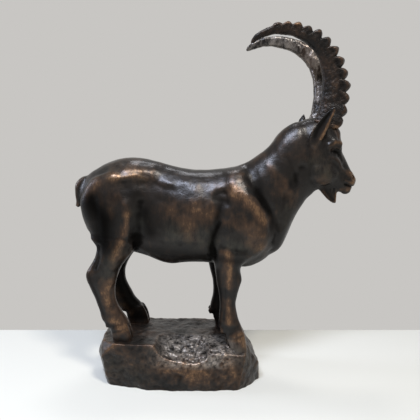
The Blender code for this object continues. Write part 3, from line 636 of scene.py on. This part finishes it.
def nearness(places, path, reach):
    """How close each place in the side view is to a path: 1 on it, fading over the reach."""
    near = np.full(len(places), np.inf)
    for start, end in zip(path, path[1:]):
        start = np.array(start, float)
        run = np.array(end, float) - start
        share = np.clip(((places - start) @ run) / (run @ run), 0, 1)
        near = np.minimum(near, np.linalg.norm(places - start - share[:, None] * run, axis=1))
    return np.exp(-((near / reach) ** 2))


def press(mesh, frame, strokes, sides=(-1, 1)):
    """Hollow or raise the flanks along strokes drawn in the side view.

    A stroke stays off whatever lies closer to the middle than its last number; 0 lets it run
    all the way round.
    """
    for path, reach, lift, *inner in strokes:
        for side in sides:
            points, normals = arrays(mesh)
            drawn = seen_in(frame, points)
            outward = np.clip(normals[:, 1] * side * 1.6, 0, 1)
            clear = ramp(drawn[:, 1] * side, inner[0] if inner else 1, 3)
            if inner == [0]:
                outward = clear = 1.0
            points += normals * (lift * nearness(drawn[:, [0, 2]], path, reach) * outward * clear)[:, None]
            store(mesh, points)


def swell(mesh, layers, weight):
    """Raise and sink the surface in rounded lumps of several sizes."""
    points, normals = arrays(mesh)
    for index in np.nonzero(weight > 0)[0]:
        place = Vector(points[index])
        height = sum(noise.noise(place / size) * lift for size, lift in layers)
        points[index] += normals[index] * height * weight[index]
    store(mesh, points)


def chip(mesh, layers, weight):
    """Tilt the surface in small flat facets, as a chisel leaves them, the same at each run."""
    noise.seed_set(FACET_SEED)
    points, normals = arrays(mesh)
    for index in np.nonzero(weight > 0.01)[0]:
        height = 0.0
        for size, tilt in layers:
            place = Vector(points[index]) / size
            centre = noise.voronoi(place)[1][0]
            height += (place - centre).dot(noise.noise_vector(centre * 3.7)) * tilt * size
        points[index] += normals[index] * height * weight[index]
    store(mesh, points)


def turned_head():
    """Place of the head: turned to the left and tilted about the top of the neck."""
    top = Matrix.Translation(NECK_TOP)
    turn = Matrix.Rotation(math.radians(HEAD_TURN), 4, "Z")
    tilt = Matrix.Rotation(math.radians(HEAD_TILT), 4, "X")
    return top @ (turn @ tilt) @ top.inverted()


def leaned_leg(joint, foot):
    """Place of a leg: leans sideways between its joint in the trunk and its foot."""
    lean = Matrix.Identity(4)
    lean[1][2] = (joint[1] - foot[1]) / (joint[2] - foot[2])
    return Matrix.Translation(foot) @ lean @ Matrix.Translation((-foot[0], 0, -foot[2]))


BODY = Matrix.Identity(4)
SKULL = turned_head()


def ear(bm, side):
    """Upright leaf whose edges curl outwards."""
    root = Vector((EAR[0][0], 0, EAR[0][1]))
    tip = Vector((EAR[-1][0], 0, EAR[-1][1]))
    laid = Vector((-FAR_EAR_LAID_BACK if side > 0 else 0.0, 0, 0))
    rings = []
    for row in smooth_rows(EAR, 7):
        lean = laid * (row[1] - root.z) / (tip.z - root.z)
        back = lean + Vector((row[0], 0, row[1]))
        front = lean + Vector((row[2], 0, row[3]))
        ring = []
        for step in range(EAR_SIDES):
            angle = 2 * math.pi * step / EAR_SIDES
            up = math.cos(angle)
            out = row[5] + row[4] * math.sin(angle) + row[6] * (up * up - 0.5)
            ring.append(SKULL @ ((back + front) / 2 + (front - back) / 2 * up + Vector((0, side * out, 0))))
        rings.append(ring)
    skin(bm, rings)


def goat():
    """Trunk, neck, head, legs, ears, beard and tail as one skin."""
    bm = bmesh.new()
    loft(bm, TRUNK, BODY)
    loft(bm, NECK, BODY)
    loft(bm, HEAD, SKULL)
    for side in (-1, 1):
        flank = Matrix.Translation((0, side * FLANK_OFFSET, 0))
        loft(bm, HAUNCH, flank)
        loft(bm, SHOULDER, flank)
        for (x, beside, z), radii, pitch in (CHEEK, BROW, FOREHEAD):
            lump(bm, (x, side * beside, z), radii, SKULL, pitch)
    for joint, foot, ribs, _ in LEGS:
        loft(bm, ribs, leaned_leg(joint, foot))
    bmesh.ops.scale(bm, vec=(MM, MM, MM), verts=bm.verts)
    flesh = fused(as_object(bm, "flesh"), FLESH_GRAIN, FLESH_SMOOTH_STEPS)

    bm = bmesh.new()
    for side in (-1, 1):
        ear(bm, side)
        for (x, beside, z), radii, pitch in (NOSTRIL_SIDE, EYEBALL):
            lump(bm, (x, side * beside, z), radii, SKULL, pitch)
    loft(bm, BEARD, SKULL)
    middle, radii, pitch = CHIN
    lump(bm, middle, radii, SKULL, pitch)
    loft(bm, TAIL, BODY)
    for joint, foot, _, toe in LEGS:
        leg = leaned_leg(joint, foot)
        for part in (-1, 1):
            beside = leg @ Matrix.Translation((0, part * TOE_OFFSET, 0))
            loft(bm, toe, beside, sides=24)
            lump(bm, (toe[0][0] - DEWCLAW_BACK, 0, toe[0][1] + DEWCLAW_UP), DEWCLAW, beside)
    bmesh.ops.scale(bm, vec=(MM, MM, MM), verts=bm.verts)
    bm.from_mesh(flesh.data)
    bpy.data.objects.remove(flesh)
    whole = fused(as_object(bm, "goat"), SKIN_GRAIN, SEAM_SMOOTH_STEPS)
    press(whole.data, BODY, BODY_STROKES)
    press(whole.data, SKULL, HEAD_STROKES)
    finer_head(whole.data)
    press(whole.data, SKULL, FINE_STROKES)
    press(whole.data, BODY, NEAR_LEG_STROKES, sides=(-1,))
    press(whole.data, BODY, FAR_LEG_STROKES, sides=(1,))
    swell(whole.data, THUMB_MARKS, np.ones(len(whole.data.vertices)))
    points, _ = arrays(whole.data)
    relax(whole.data, points, 1)
    drawn = seen_in(SKULL, points)
    from_middle = abs(drawn[:, 1])
    thin = ramp(drawn[:, 2], 236, 4) * ramp(from_middle, 16, 3)
    soften(whole.data, points, thin, EAR_SMOOTH_STEPS)
    nape = nearness(drawn[:, [0, 2]], NAPE, 7) * ramp(from_middle, 15, -3)
    soften(whole.data, points, nape, NAPE_SMOOTH_STEPS)
    store(whole.data, points)
    return whole


def finer_head(mesh):
    """Divide the faces of the head, so that it can take finer strokes."""
    bm = bmesh.new()
    bm.from_mesh(mesh)
    back = SKULL.inverted()
    front, bottom, corner = FINE_HEAD
    chosen = set()
    for vert in bm.verts:
        place = back @ (vert.co / MM)
        if place.x > front and place.z > bottom and place.x + place.z > corner:
            chosen.add(vert)
    inside = [edge for edge in bm.edges if chosen.issuperset(edge.verts)]
    bmesh.ops.subdivide_edges(bm, edges=inside, cuts=1, use_grid_fill=True, smooth=0.0)
    bm.to_mesh(mesh)
    bm.free()


def knob(t, side):
    """Height of the horn's outer edge above its smooth line, with one uneven crest for each knob."""
    run = (t - KNOB_START) / (KNOB_END - KNOB_START)
    if not 0 < run < 1:
        return 0.0
    count, phase = divmod((run - KNOB_LAG * math.sin(math.pi * run)) * KNOB_COUNT, 1.0)
    uneven = 1 + KNOB_UNEVENNESS * noise.noise(Vector((count * 1.37, side * 2.3, 0.4)))
    return KNOB_HEIGHT * uneven * (1 - abs(2 * phase - 1) ** KNOB_BLUNTNESS)


def horn(name, side):
    """Horn that curls back along a tightening arc, with knobs that ring its outer half."""
    centre = Vector(HORN_ROOT)
    rows = smooth_rows(HORN, HORN_STEPS)
    length = HORN_LENGTH if side < 0 else FAR_HORN_LENGTH
    turned = 0.0 if side < 0 else FAR_KNOBS_TURNED
    ridge = 0.0 if side < 0 else FAR_RIDGE
    stride = length / (len(rows) - 1)
    rings = []
    for step, (inner, outer, across, share) in enumerate(rows):
        t = step / (len(rows) - 1)
        run = t * length / HORN_LENGTH
        lean = HORN_EVEN_CURL * run + (1 - HORN_EVEN_CURL) * run * run
        lean = HORN_ROOT_LEAN + (HORN_TIP_LEAN - HORN_ROOT_LEAN) * lean
        outward = Vector((math.sin(lean), 0, -math.cos(lean)))
        spread = t * t * (3 - 2 * t)
        centre.y = side * (HORN_ROOT_GAP + (HORN_SPREAD - HORN_ROOT_GAP) * spread) / 2
        point = 1 - max(0.0, (t - HORN_POINT_START) / (1 - HORN_POINT_START)) ** 2
        girth = math.sqrt(max(point, 0.05))
        ring = []
        for turn in range(HORN_SIDES):
            angle = 2 * math.pi * turn / HORN_SIDES
            up = math.copysign(abs(math.cos(angle)) ** HORN_SQUARENESS, math.cos(angle))
            out = math.copysign(abs(math.sin(angle)) ** HORN_SQUARENESS, math.sin(angle))
            rise = knob(t - KNOB_SLANT * (1 - up), side) * share
            lift = rise * max(0.0, math.cos(angle - turned)) ** 0.7
            lift = max(lift, ridge * share * max(0.0, math.cos(angle + turned)) ** 0.7)
            bulge = rise * KNOB_BULGE * math.exp(-(((up - 0.7) / 0.22) ** 2)) * (out * side > 0 or side < 0)
            reach = (outer if up > 0 else inner) * girth * up + lift
            swollen = across * girth * out * (1 + HORN_FRONT_SWELL * up)
            beside = swollen + math.copysign(bulge, out) * min(1, abs(out) * 3)
            ring.append(SKULL @ (centre + outward * reach + Vector((0, beside, 0))))
        rings.append(ring)
        centre += Vector((math.cos(lean), 0, math.sin(lean))) * stride
    bm = bmesh.new()
    skin(bm, rings)
    bmesh.ops.scale(bm, vec=(MM, MM, MM), verts=bm.verts)
    made = as_object(bm, name)
    swell(made.data, HORN_SWELLS, np.ones(len(made.data.vertices)))
    points, _ = arrays(made.data)
    relax(made.data, points, HORN_SMOOTH_STEPS)
    store(made.data, points)
    return made


def hull(corners):
    """Faceted block around the corners."""
    bm = bmesh.new()
    for x, y, z in corners:
        bm.verts.new(Vector((x * ROCK_STRETCH, y, z)) * MM)
    made = bmesh.ops.convex_hull(bm, input=bm.verts)
    inside = {item for item in made["geom_interior"] if isinstance(item, bmesh.types.BMVert)}
    bmesh.ops.delete(bm, geom=list(inside), context="VERTS")
    bmesh.ops.recalc_face_normals(bm, faces=bm.faces)
    return bm


def struck_away(points):
    """How much each point lies in the hollow that was struck out of the rock's near side."""
    across = np.exp(-(((points[:, 0] - STRUCK_MIDDLE) / STRUCK_HALF_WIDTH) ** 6))
    height = ramp(points[:, 2], 23, 5) * ramp(points[:, 2], 47, -2)
    return across * height * ramp(points[:, 1], -8, -5)


def rock():
    """Boulder with its near side struck away, cut flat underneath."""
    block = as_object(hull([(x, y, z if z > 0 else -BED_DEPTH) for x, y, z in ROCK]), "rock")
    cutter = as_object(hull(SCOOP), "scoop")
    cut = block.modifiers.new("scoop", "BOOLEAN")
    cut.operation = "DIFFERENCE"
    cut.solver = "EXACT"
    cut.object = cutter
    applied(block)
    bpy.data.objects.remove(cutter)
    fused(block, STONE_GRAIN, STONE_SMOOTH_STEPS)
    points, _ = arrays(block.data)
    swell(block.data, STONE_SWELLS, np.maximum(ramp(points[:, 2], 49, -7), TOP_SWELL))
    chip(block.data, STRUCK_FACETS, struck_away(points))
    bm = bmesh.new()
    bm.from_mesh(block.data)
    everything = list(bm.verts) + list(bm.edges) + list(bm.faces)
    bmesh.ops.bisect_plane(bm, geom=everything, plane_co=(0, 0, 0), plane_no=(0, 0, 1), clear_inner=True)
    bmesh.ops.holes_fill(bm, edges=[edge for edge in bm.edges if edge.is_boundary], sides=0)
    bmesh.ops.recalc_face_normals(bm, faces=bm.faces)
    bm.to_mesh(block.data)
    bm.free()
    return block


def record_patina_and_painted_light(piece, handling, painted_highlight, overall_shade):
    """Store where the patina is worn, blackened, rubbed and filmed over, and where shade and highlight are
    painted.

    What stands out of the surface around it is worn; what lies in it is black patina; what faces down
    or inwards, and what the painted-shade strokes cover, is darkened as painted shade. Handling, the
    painted highlight and the overall shade say how far the whole piece is rubbed brown, painted
    lighter grey as a highlight or darkened as painted shade.
    """
    mesh = piece.data
    points, normals = arrays(mesh)
    smooth = points.copy()
    relief = []
    for rounds in RELIEF_STEPS:
        for _ in range(rounds):
            smooth += (neighbour_mean(mesh, smooth) - smooth) * 0.6
        relief.append(np.einsum("ij,ij->i", points - smooth, normals))
    fine, broad = relief
    headed = seen_in(SKULL, points)
    is_head = ramp(headed[:, 0], 112, 8) * ramp(headed[:, 2], 172, 6)

    def painted(on_body, on_head):
        level = np.zeros(len(points))
        for paths, places, share in ((on_body, points, 1 - is_head), (on_head, headed, is_head)):
            for path, reach, strength in paths:
                level = np.maximum(level, strength * share * nearness(places[:, [0, 2]], path, reach))
        return level

    def effect(measure, law):
        return np.clip(measure / law[0], 0, 1) * law[1]

    worn = effect(fine, FINE_WORN) + effect(broad, BROAD_WORN)
    # Black patina in the hollows, and the piece's overall painted shade wherever it is not worn
    black = overall_shade * (1 - worn) + effect(-fine, FINE_BLACK) + effect(-broad, BROAD_BLACK)
    # Painted shade: faces turned down, and faces low on the body turned in towards the middle, as on the
    # inner sides of the legs, are darkened above the rock
    above_rock = ramp(points[:, 2], 46, 4)
    inwards = np.clip(-normals[:, 1] * np.sign(points[:, 1]) * 1.4, 0, 1) * ramp(points[:, 2], 128, -8)
    under = np.clip(-normals[:, 2] * 1.5 - 0.5, 0, 1) * ramp(points[:, 2], 250, -8)
    black = np.maximum(black, np.maximum(inwards, under) * above_rock * DOWN_AND_IN_SHADE)
    # Painted highlight: lighter grey across the struck hollow, which faces up to the overhead light
    across = np.exp(-(((points[:, 0] - STRUCK_MIDDLE) / HIGHLIGHT_HALF_WIDTH) ** 4))
    hollow_highlight = across * ramp(points[:, 2], 21, 6) * ramp(points[:, 1], -6, -9)
    values = {
        "worn": worn,
        "black": np.maximum(black, painted(PAINTED_SHADE, HEAD_PAINTED_SHADE)),
        "rubbed": np.maximum(painted(RUBBED, HEAD_RUBBED), handling),
        "filmed": painted(FILMED, HEAD_FILMED),
        "painted_highlight": np.maximum(hollow_highlight * (1 - above_rock), painted_highlight),
    }
    for name, value in values.items():
        layer = mesh.attributes.new(name, "FLOAT", "POINT")
        layer.data.foreach_set("value", np.clip(value, 0, 1).astype(np.float32))


def colour(code, alpha=1.0):
    """Linear colour from an sRGB hex code."""
    parts = [int(code[place:place + 2], 16) / 255 for place in (1, 3, 5)]
    linear = [part / 12.92 if part <= 0.04045 else ((part + 0.055) / 1.055) ** 2.4 for part in parts]
    return (*linear, alpha)


def add(tree, kind, inputs, **settings):
    """Node with its settings, and its inputs set or linked."""
    made = tree.nodes.new("ShaderNode" + kind)
    for name, value in settings.items():
        setattr(made, name, value)
    for socket, value in inputs.items():
        if isinstance(value, bpy.types.NodeSocket):
            tree.links.new(value, made.inputs[socket])
        else:
            made.inputs[socket].default_value = value
    return made


def patinated_bronze(name, streak, grit, rough, wrinkled):
    """Cast bronze with a near-black brown patina under wax, rubbed to brown metal on the high places.

    The wax gives broad cool highlights, broken up by the fine wrinkles of the casting; the rubbed
    places let warm metal through in soft streaks, with painted glints on the grain's peaks, the film
    dulls it to grey-green, the hollows go black and painted shade darkens it where shade falls, and
    the struck hollow and the far horn are painted lighter grey as a highlight. A streak below 1 draws
    the mottle out upright; grit and wrinkled say how strong the grain and the whole relief are.
    """
    material = bpy.data.materials.new(name)
    material.use_nodes = True
    tree = material.node_tree
    surface = tree.nodes["Principled BSDF"]
    place = add(tree, "TexCoord", {}).outputs["Object"]
    drawn = add(tree, "Mapping", {"Vector": place, "Scale": (1.0, 1.0, streak)}).outputs[0]
    cloud = add(tree, "TexNoise", {
        "Vector": place, "Scale": CLOUDS, "Detail": 4.0, "Roughness": 0.55}).outputs[0]
    mottle = add(tree, "TexNoise", {
        "Vector": drawn, "Scale": MOTTLES, "Detail": 5.0, "Roughness": 0.65}).outputs[0]
    grain = add(tree, "TexNoise", {
        "Vector": drawn, "Scale": GRAINS, "Detail": 3.0, "Roughness": 0.65}).outputs[0]
    wrinkle = add(tree, "TexNoise", {
        "Vector": place, "Scale": WRINKLES, "Detail": 4.0, "Roughness": 0.6, "Distortion": 1.2}).outputs[0]
    worn, black, rubbed, filmed, painted_highlight = (
        add(tree, "Attribute", {}, attribute_name=layer).outputs["Fac"] for layer in PATINA_AND_PAINTED_LIGHT_LAYERS)

    # Rubbed brown where clouds, mottle, handling and relief add up; painted glints are the grain's peaks
    # there
    clouded = add(tree, "Math", {0: cloud, 1: 0.9, 2: -0.85}, operation="MULTIPLY_ADD").outputs[0]
    mottled = add(tree, "Math", {0: mottle, 1: 0.8, 2: clouded}, operation="MULTIPLY_ADD").outputs[0]
    handled = add(tree, "Math", {0: rubbed, 1: 0.6, 2: mottled}, operation="MULTIPLY_ADD").outputs[0]
    high = add(tree, "Math", {0: worn, 1: 0.4, 2: handled}, operation="MULTIPLY_ADD").outputs[0]
    rub = add(tree, "MapRange", {0: high, 1: 0.08, 2: 0.75}, interpolation_type="SMOOTHSTEP").outputs[0]
    glint = add(tree, "Math", {0: grain, 1: rub}, operation="MULTIPLY").outputs[0]
    glinting = add(tree, "MapRange", {0: glint, 1: 0.34, 2: 0.62, 4: 0.6}).outputs[0]
    patchy = add(tree, "MapRange", {0: mottle, 1: 0.38, 2: 0.62, 4: 0.65}).outputs[0]
    film = add(tree, "Math", {0: filmed, 1: patchy}, operation="MULTIPLY").outputs[0]

    # From the dark ground up: rubbed brown, painted glints, dull film, painted lighter-grey highlight,
    # black of the hollows and of painted shade
    dark = add(tree, "ValToRGB", {0: cloud})
    dark.color_ramp.elements[0].position = 0.35
    dark.color_ramp.elements[0].color = colour("#0D0A08")
    dark.color_ramp.elements[1].position = 0.68
    dark.color_ramp.elements[1].color = colour("#1D1713")
    warm = add(tree, "Mix", {0: rub, 6: dark.outputs[0], 7: colour("#4F3B2C")}, data_type="RGBA").outputs[2]
    bright = add(tree, "Mix", {0: glinting, 6: warm, 7: colour("#8A6A4C")}, data_type="RGBA").outputs[2]
    dulled = add(tree, "Mix", {0: film, 6: bright, 7: colour("#35342C")}, data_type="RGBA").outputs[2]
    # Painted highlight: lighter grey metal on the struck hollow and over the far horn
    highlight_patches = add(tree, "Math", {0: painted_highlight, 1: patchy}, operation="MULTIPLY").outputs[0]
    greyer = add(tree, "Mix", {0: highlight_patches, 6: dulled, 7: colour("#A9A096")}, data_type="RGBA").outputs[2]
    # Near-black for the patina in the hollows and for painted shade
    shaded = add(tree, "Mix", {0: black, 6: greyer, 7: colour("#060504")}, data_type="RGBA").outputs[2]
    tree.links.new(shaded, surface.inputs["Base Color"])

    # Rubbed places are metal and shine; hollows, painted shade and film are matt and carry no wax
    metal = add(tree, "MapRange", {0: rub, 3: 0.3, 4: 0.7}).outputs[0]
    tree.links.new(metal, surface.inputs["Metallic"])
    matt = add(tree, "Math", {0: black, 1: 0.25, 2: rough - 0.1}, operation="MULTIPLY_ADD").outputs[0]
    duller = add(tree, "Math", {0: film, 1: 0.15, 2: matt}, operation="MULTIPLY_ADD").outputs[0]
    uneven = add(tree, "Math", {0: mottle, 1: 0.2, 2: duller}, operation="MULTIPLY_ADD").outputs[0]
    tree.links.new(uneven, surface.inputs["Roughness"])
    sheen = add(tree, "MapRange", {0: black, 3: 0.24, 4: 0.02}).outputs[0]
    tree.links.new(sheen, surface.inputs["Specular IOR Level"])
    wax = add(tree, "MapRange", {0: black, 3: 0.22, 4: 0.0}).outputs[0]
    tree.links.new(wax, surface.inputs["Coat Weight"])
    surface.inputs["Coat Roughness"].default_value = rough

    drawn_out = add(tree, "Math", {0: mottle, 1: 0.5, 2: wrinkle}, operation="MULTIPLY_ADD").outputs[0]
    relief = add(tree, "Math", {0: grain, 1: grit, 2: drawn_out}, operation="MULTIPLY_ADD").outputs[0]
    bump = add(tree, "Bump", {"Strength": wrinkled, "Distance": RELIEF_DEPTH, "Height": relief}).outputs[0]
    tree.links.new(bump, surface.inputs["Normal"])
    tree.links.new(bump, surface.inputs["Coat Normal"])
    return material


def plain(name, code, rough):
    """Even matt paint for the table."""
    material = bpy.data.materials.new(name)
    material.use_nodes = True
    surface = material.node_tree.nodes["Principled BSDF"]
    surface.inputs["Base Color"].default_value = colour(code)
    surface.inputs["Roughness"].default_value = rough
    return material


def table():
    """Plain pale table whose far edge is a hand's width behind the rock."""
    bm = bmesh.new()
    place = Matrix.Translation(TABLE_MIDDLE) @ Matrix.Diagonal((*TABLE_SIZE, 1))
    bmesh.ops.create_cube(bm, size=1, matrix=place)
    made = as_object(bm, "table")
    made.data.materials.append(plain("painted_board", "#DEDBCF", 0.6))


def lamp(name, place, aim, size, power, code):
    """Soft rectangular lamp that looks at a point."""
    data = bpy.data.lights.new(name, "AREA")
    data.shape = "RECTANGLE"
    data.size, data.size_y = size
    data.energy = power
    data.color = colour(code)[:3]
    made = bpy.data.objects.new(name, data)
    made.location = place
    made.rotation_euler = (Vector(aim) - Vector(place)).to_track_quat("-Z", "Y").to_euler()
    bpy.context.scene.collection.objects.link(made)


def surroundings():
    """Lamps overhead in a dim pale room; a plain warm grey wall is seen, also mirrored in the metal."""
    world = bpy.data.worlds.new("room")
    bpy.context.scene.world = world
    world.use_nodes = True
    tree = world.node_tree
    room = tree.nodes["Background"]
    room.inputs["Color"].default_value = colour("#E6E8EC")
    room.inputs["Strength"].default_value = ROOM_LIGHT
    wall = add(tree, "Background", {"Color": colour("#C8C6C3"), "Strength": 1.0})
    ray = add(tree, "LightPath", {}).outputs
    mirrored = add(tree, "Math", {
        0: ray["Is Glossy Ray"], 1: ray["Is Transmission Ray"]}, operation="MAXIMUM").outputs[0]
    seen = add(tree, "Math", {0: ray["Is Camera Ray"], 1: mirrored}, operation="MAXIMUM").outputs[0]
    shown = add(tree, "MixShader", {0: seen, 1: room.outputs[0], 2: wall.outputs[0]})
    tree.links.new(shown.outputs[0], tree.nodes["World Output"].inputs["Surface"])
    lamp("key", (0.3, -0.56, 0.98), (0.02, 0, 0.18), (0.18, 0.15), 6.6, "#FFFBF4")
    lamp("fill", (-0.17, -0.58, 1.0), (-0.02, 0, 0.18), (0.36, 0.22), 11.5, "#DCE7FF")
    lamp("ceiling", (0.0, 0.32, 1.15), (0, 0, 0.1), (0.24, 0.15), 2.4, "#F6F8FF")
    lamp("window", (-0.95, 0.1, 0.5), (0, 0, 0.2), (0.2, 0.5), 4.5, "#DCE7FF")


def camera():
    """The photograph's view: half a metre away, a little from above."""
    data = bpy.data.cameras.new("camera")
    data.sensor_width = SENSOR_WIDTH
    data.lens = SENSOR_WIDTH * FOCAL_PIXELS / PICTURE_PIXELS
    made = bpy.data.objects.new("camera", data)
    made.location = CAMERA_PLACE
    made.rotation_euler = (math.radians(90 - CAMERA_PITCH), 0, 0)
    bpy.context.scene.collection.objects.link(made)
    bpy.context.scene.camera = made


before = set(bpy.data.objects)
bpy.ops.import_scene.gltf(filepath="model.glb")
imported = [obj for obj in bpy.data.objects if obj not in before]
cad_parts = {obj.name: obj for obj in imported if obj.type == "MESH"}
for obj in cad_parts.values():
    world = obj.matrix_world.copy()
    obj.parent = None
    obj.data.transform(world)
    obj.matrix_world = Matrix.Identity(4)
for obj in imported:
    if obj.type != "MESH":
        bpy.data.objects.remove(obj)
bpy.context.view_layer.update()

bronze = patinated_bronze("patinated_bronze", 0.45, 0.2, 0.3, 0.36)
gritty_bronze = patinated_bronze("patinated_bronze_gritty", 1.0, 0.9, 0.33, 0.6)
for piece, finish, handling, painted_highlight, overall_shade in (
    (goat(), bronze, 0.0, 0.0, 0.0),
    # Darkened overall as painted shade
    (horn("horn_near", -1), gritty_bronze, 0.25, 0.0, 0.35),
    # Painted lighter grey overall, as a reflection of the light
    (horn("horn_far", 1), bronze, 0.3, 0.55, 0.0),
    (rock(), gritty_bronze, 0.3, 0.0, 0.0),
):
    record_patina_and_painted_light(piece, handling, painted_highlight, overall_shade)
    piece.data.materials.clear()
    piece.data.materials.append(finish)
    piece.data.shade_smooth()
    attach(piece, "root")
    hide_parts(CASTING)
    print(piece.name, sum(len(face.vertices) - 2 for face in piece.data.polygons), "triangles")

table()
surroundings()
camera()
bpy.context.scene.view_settings.view_transform = "Standard"
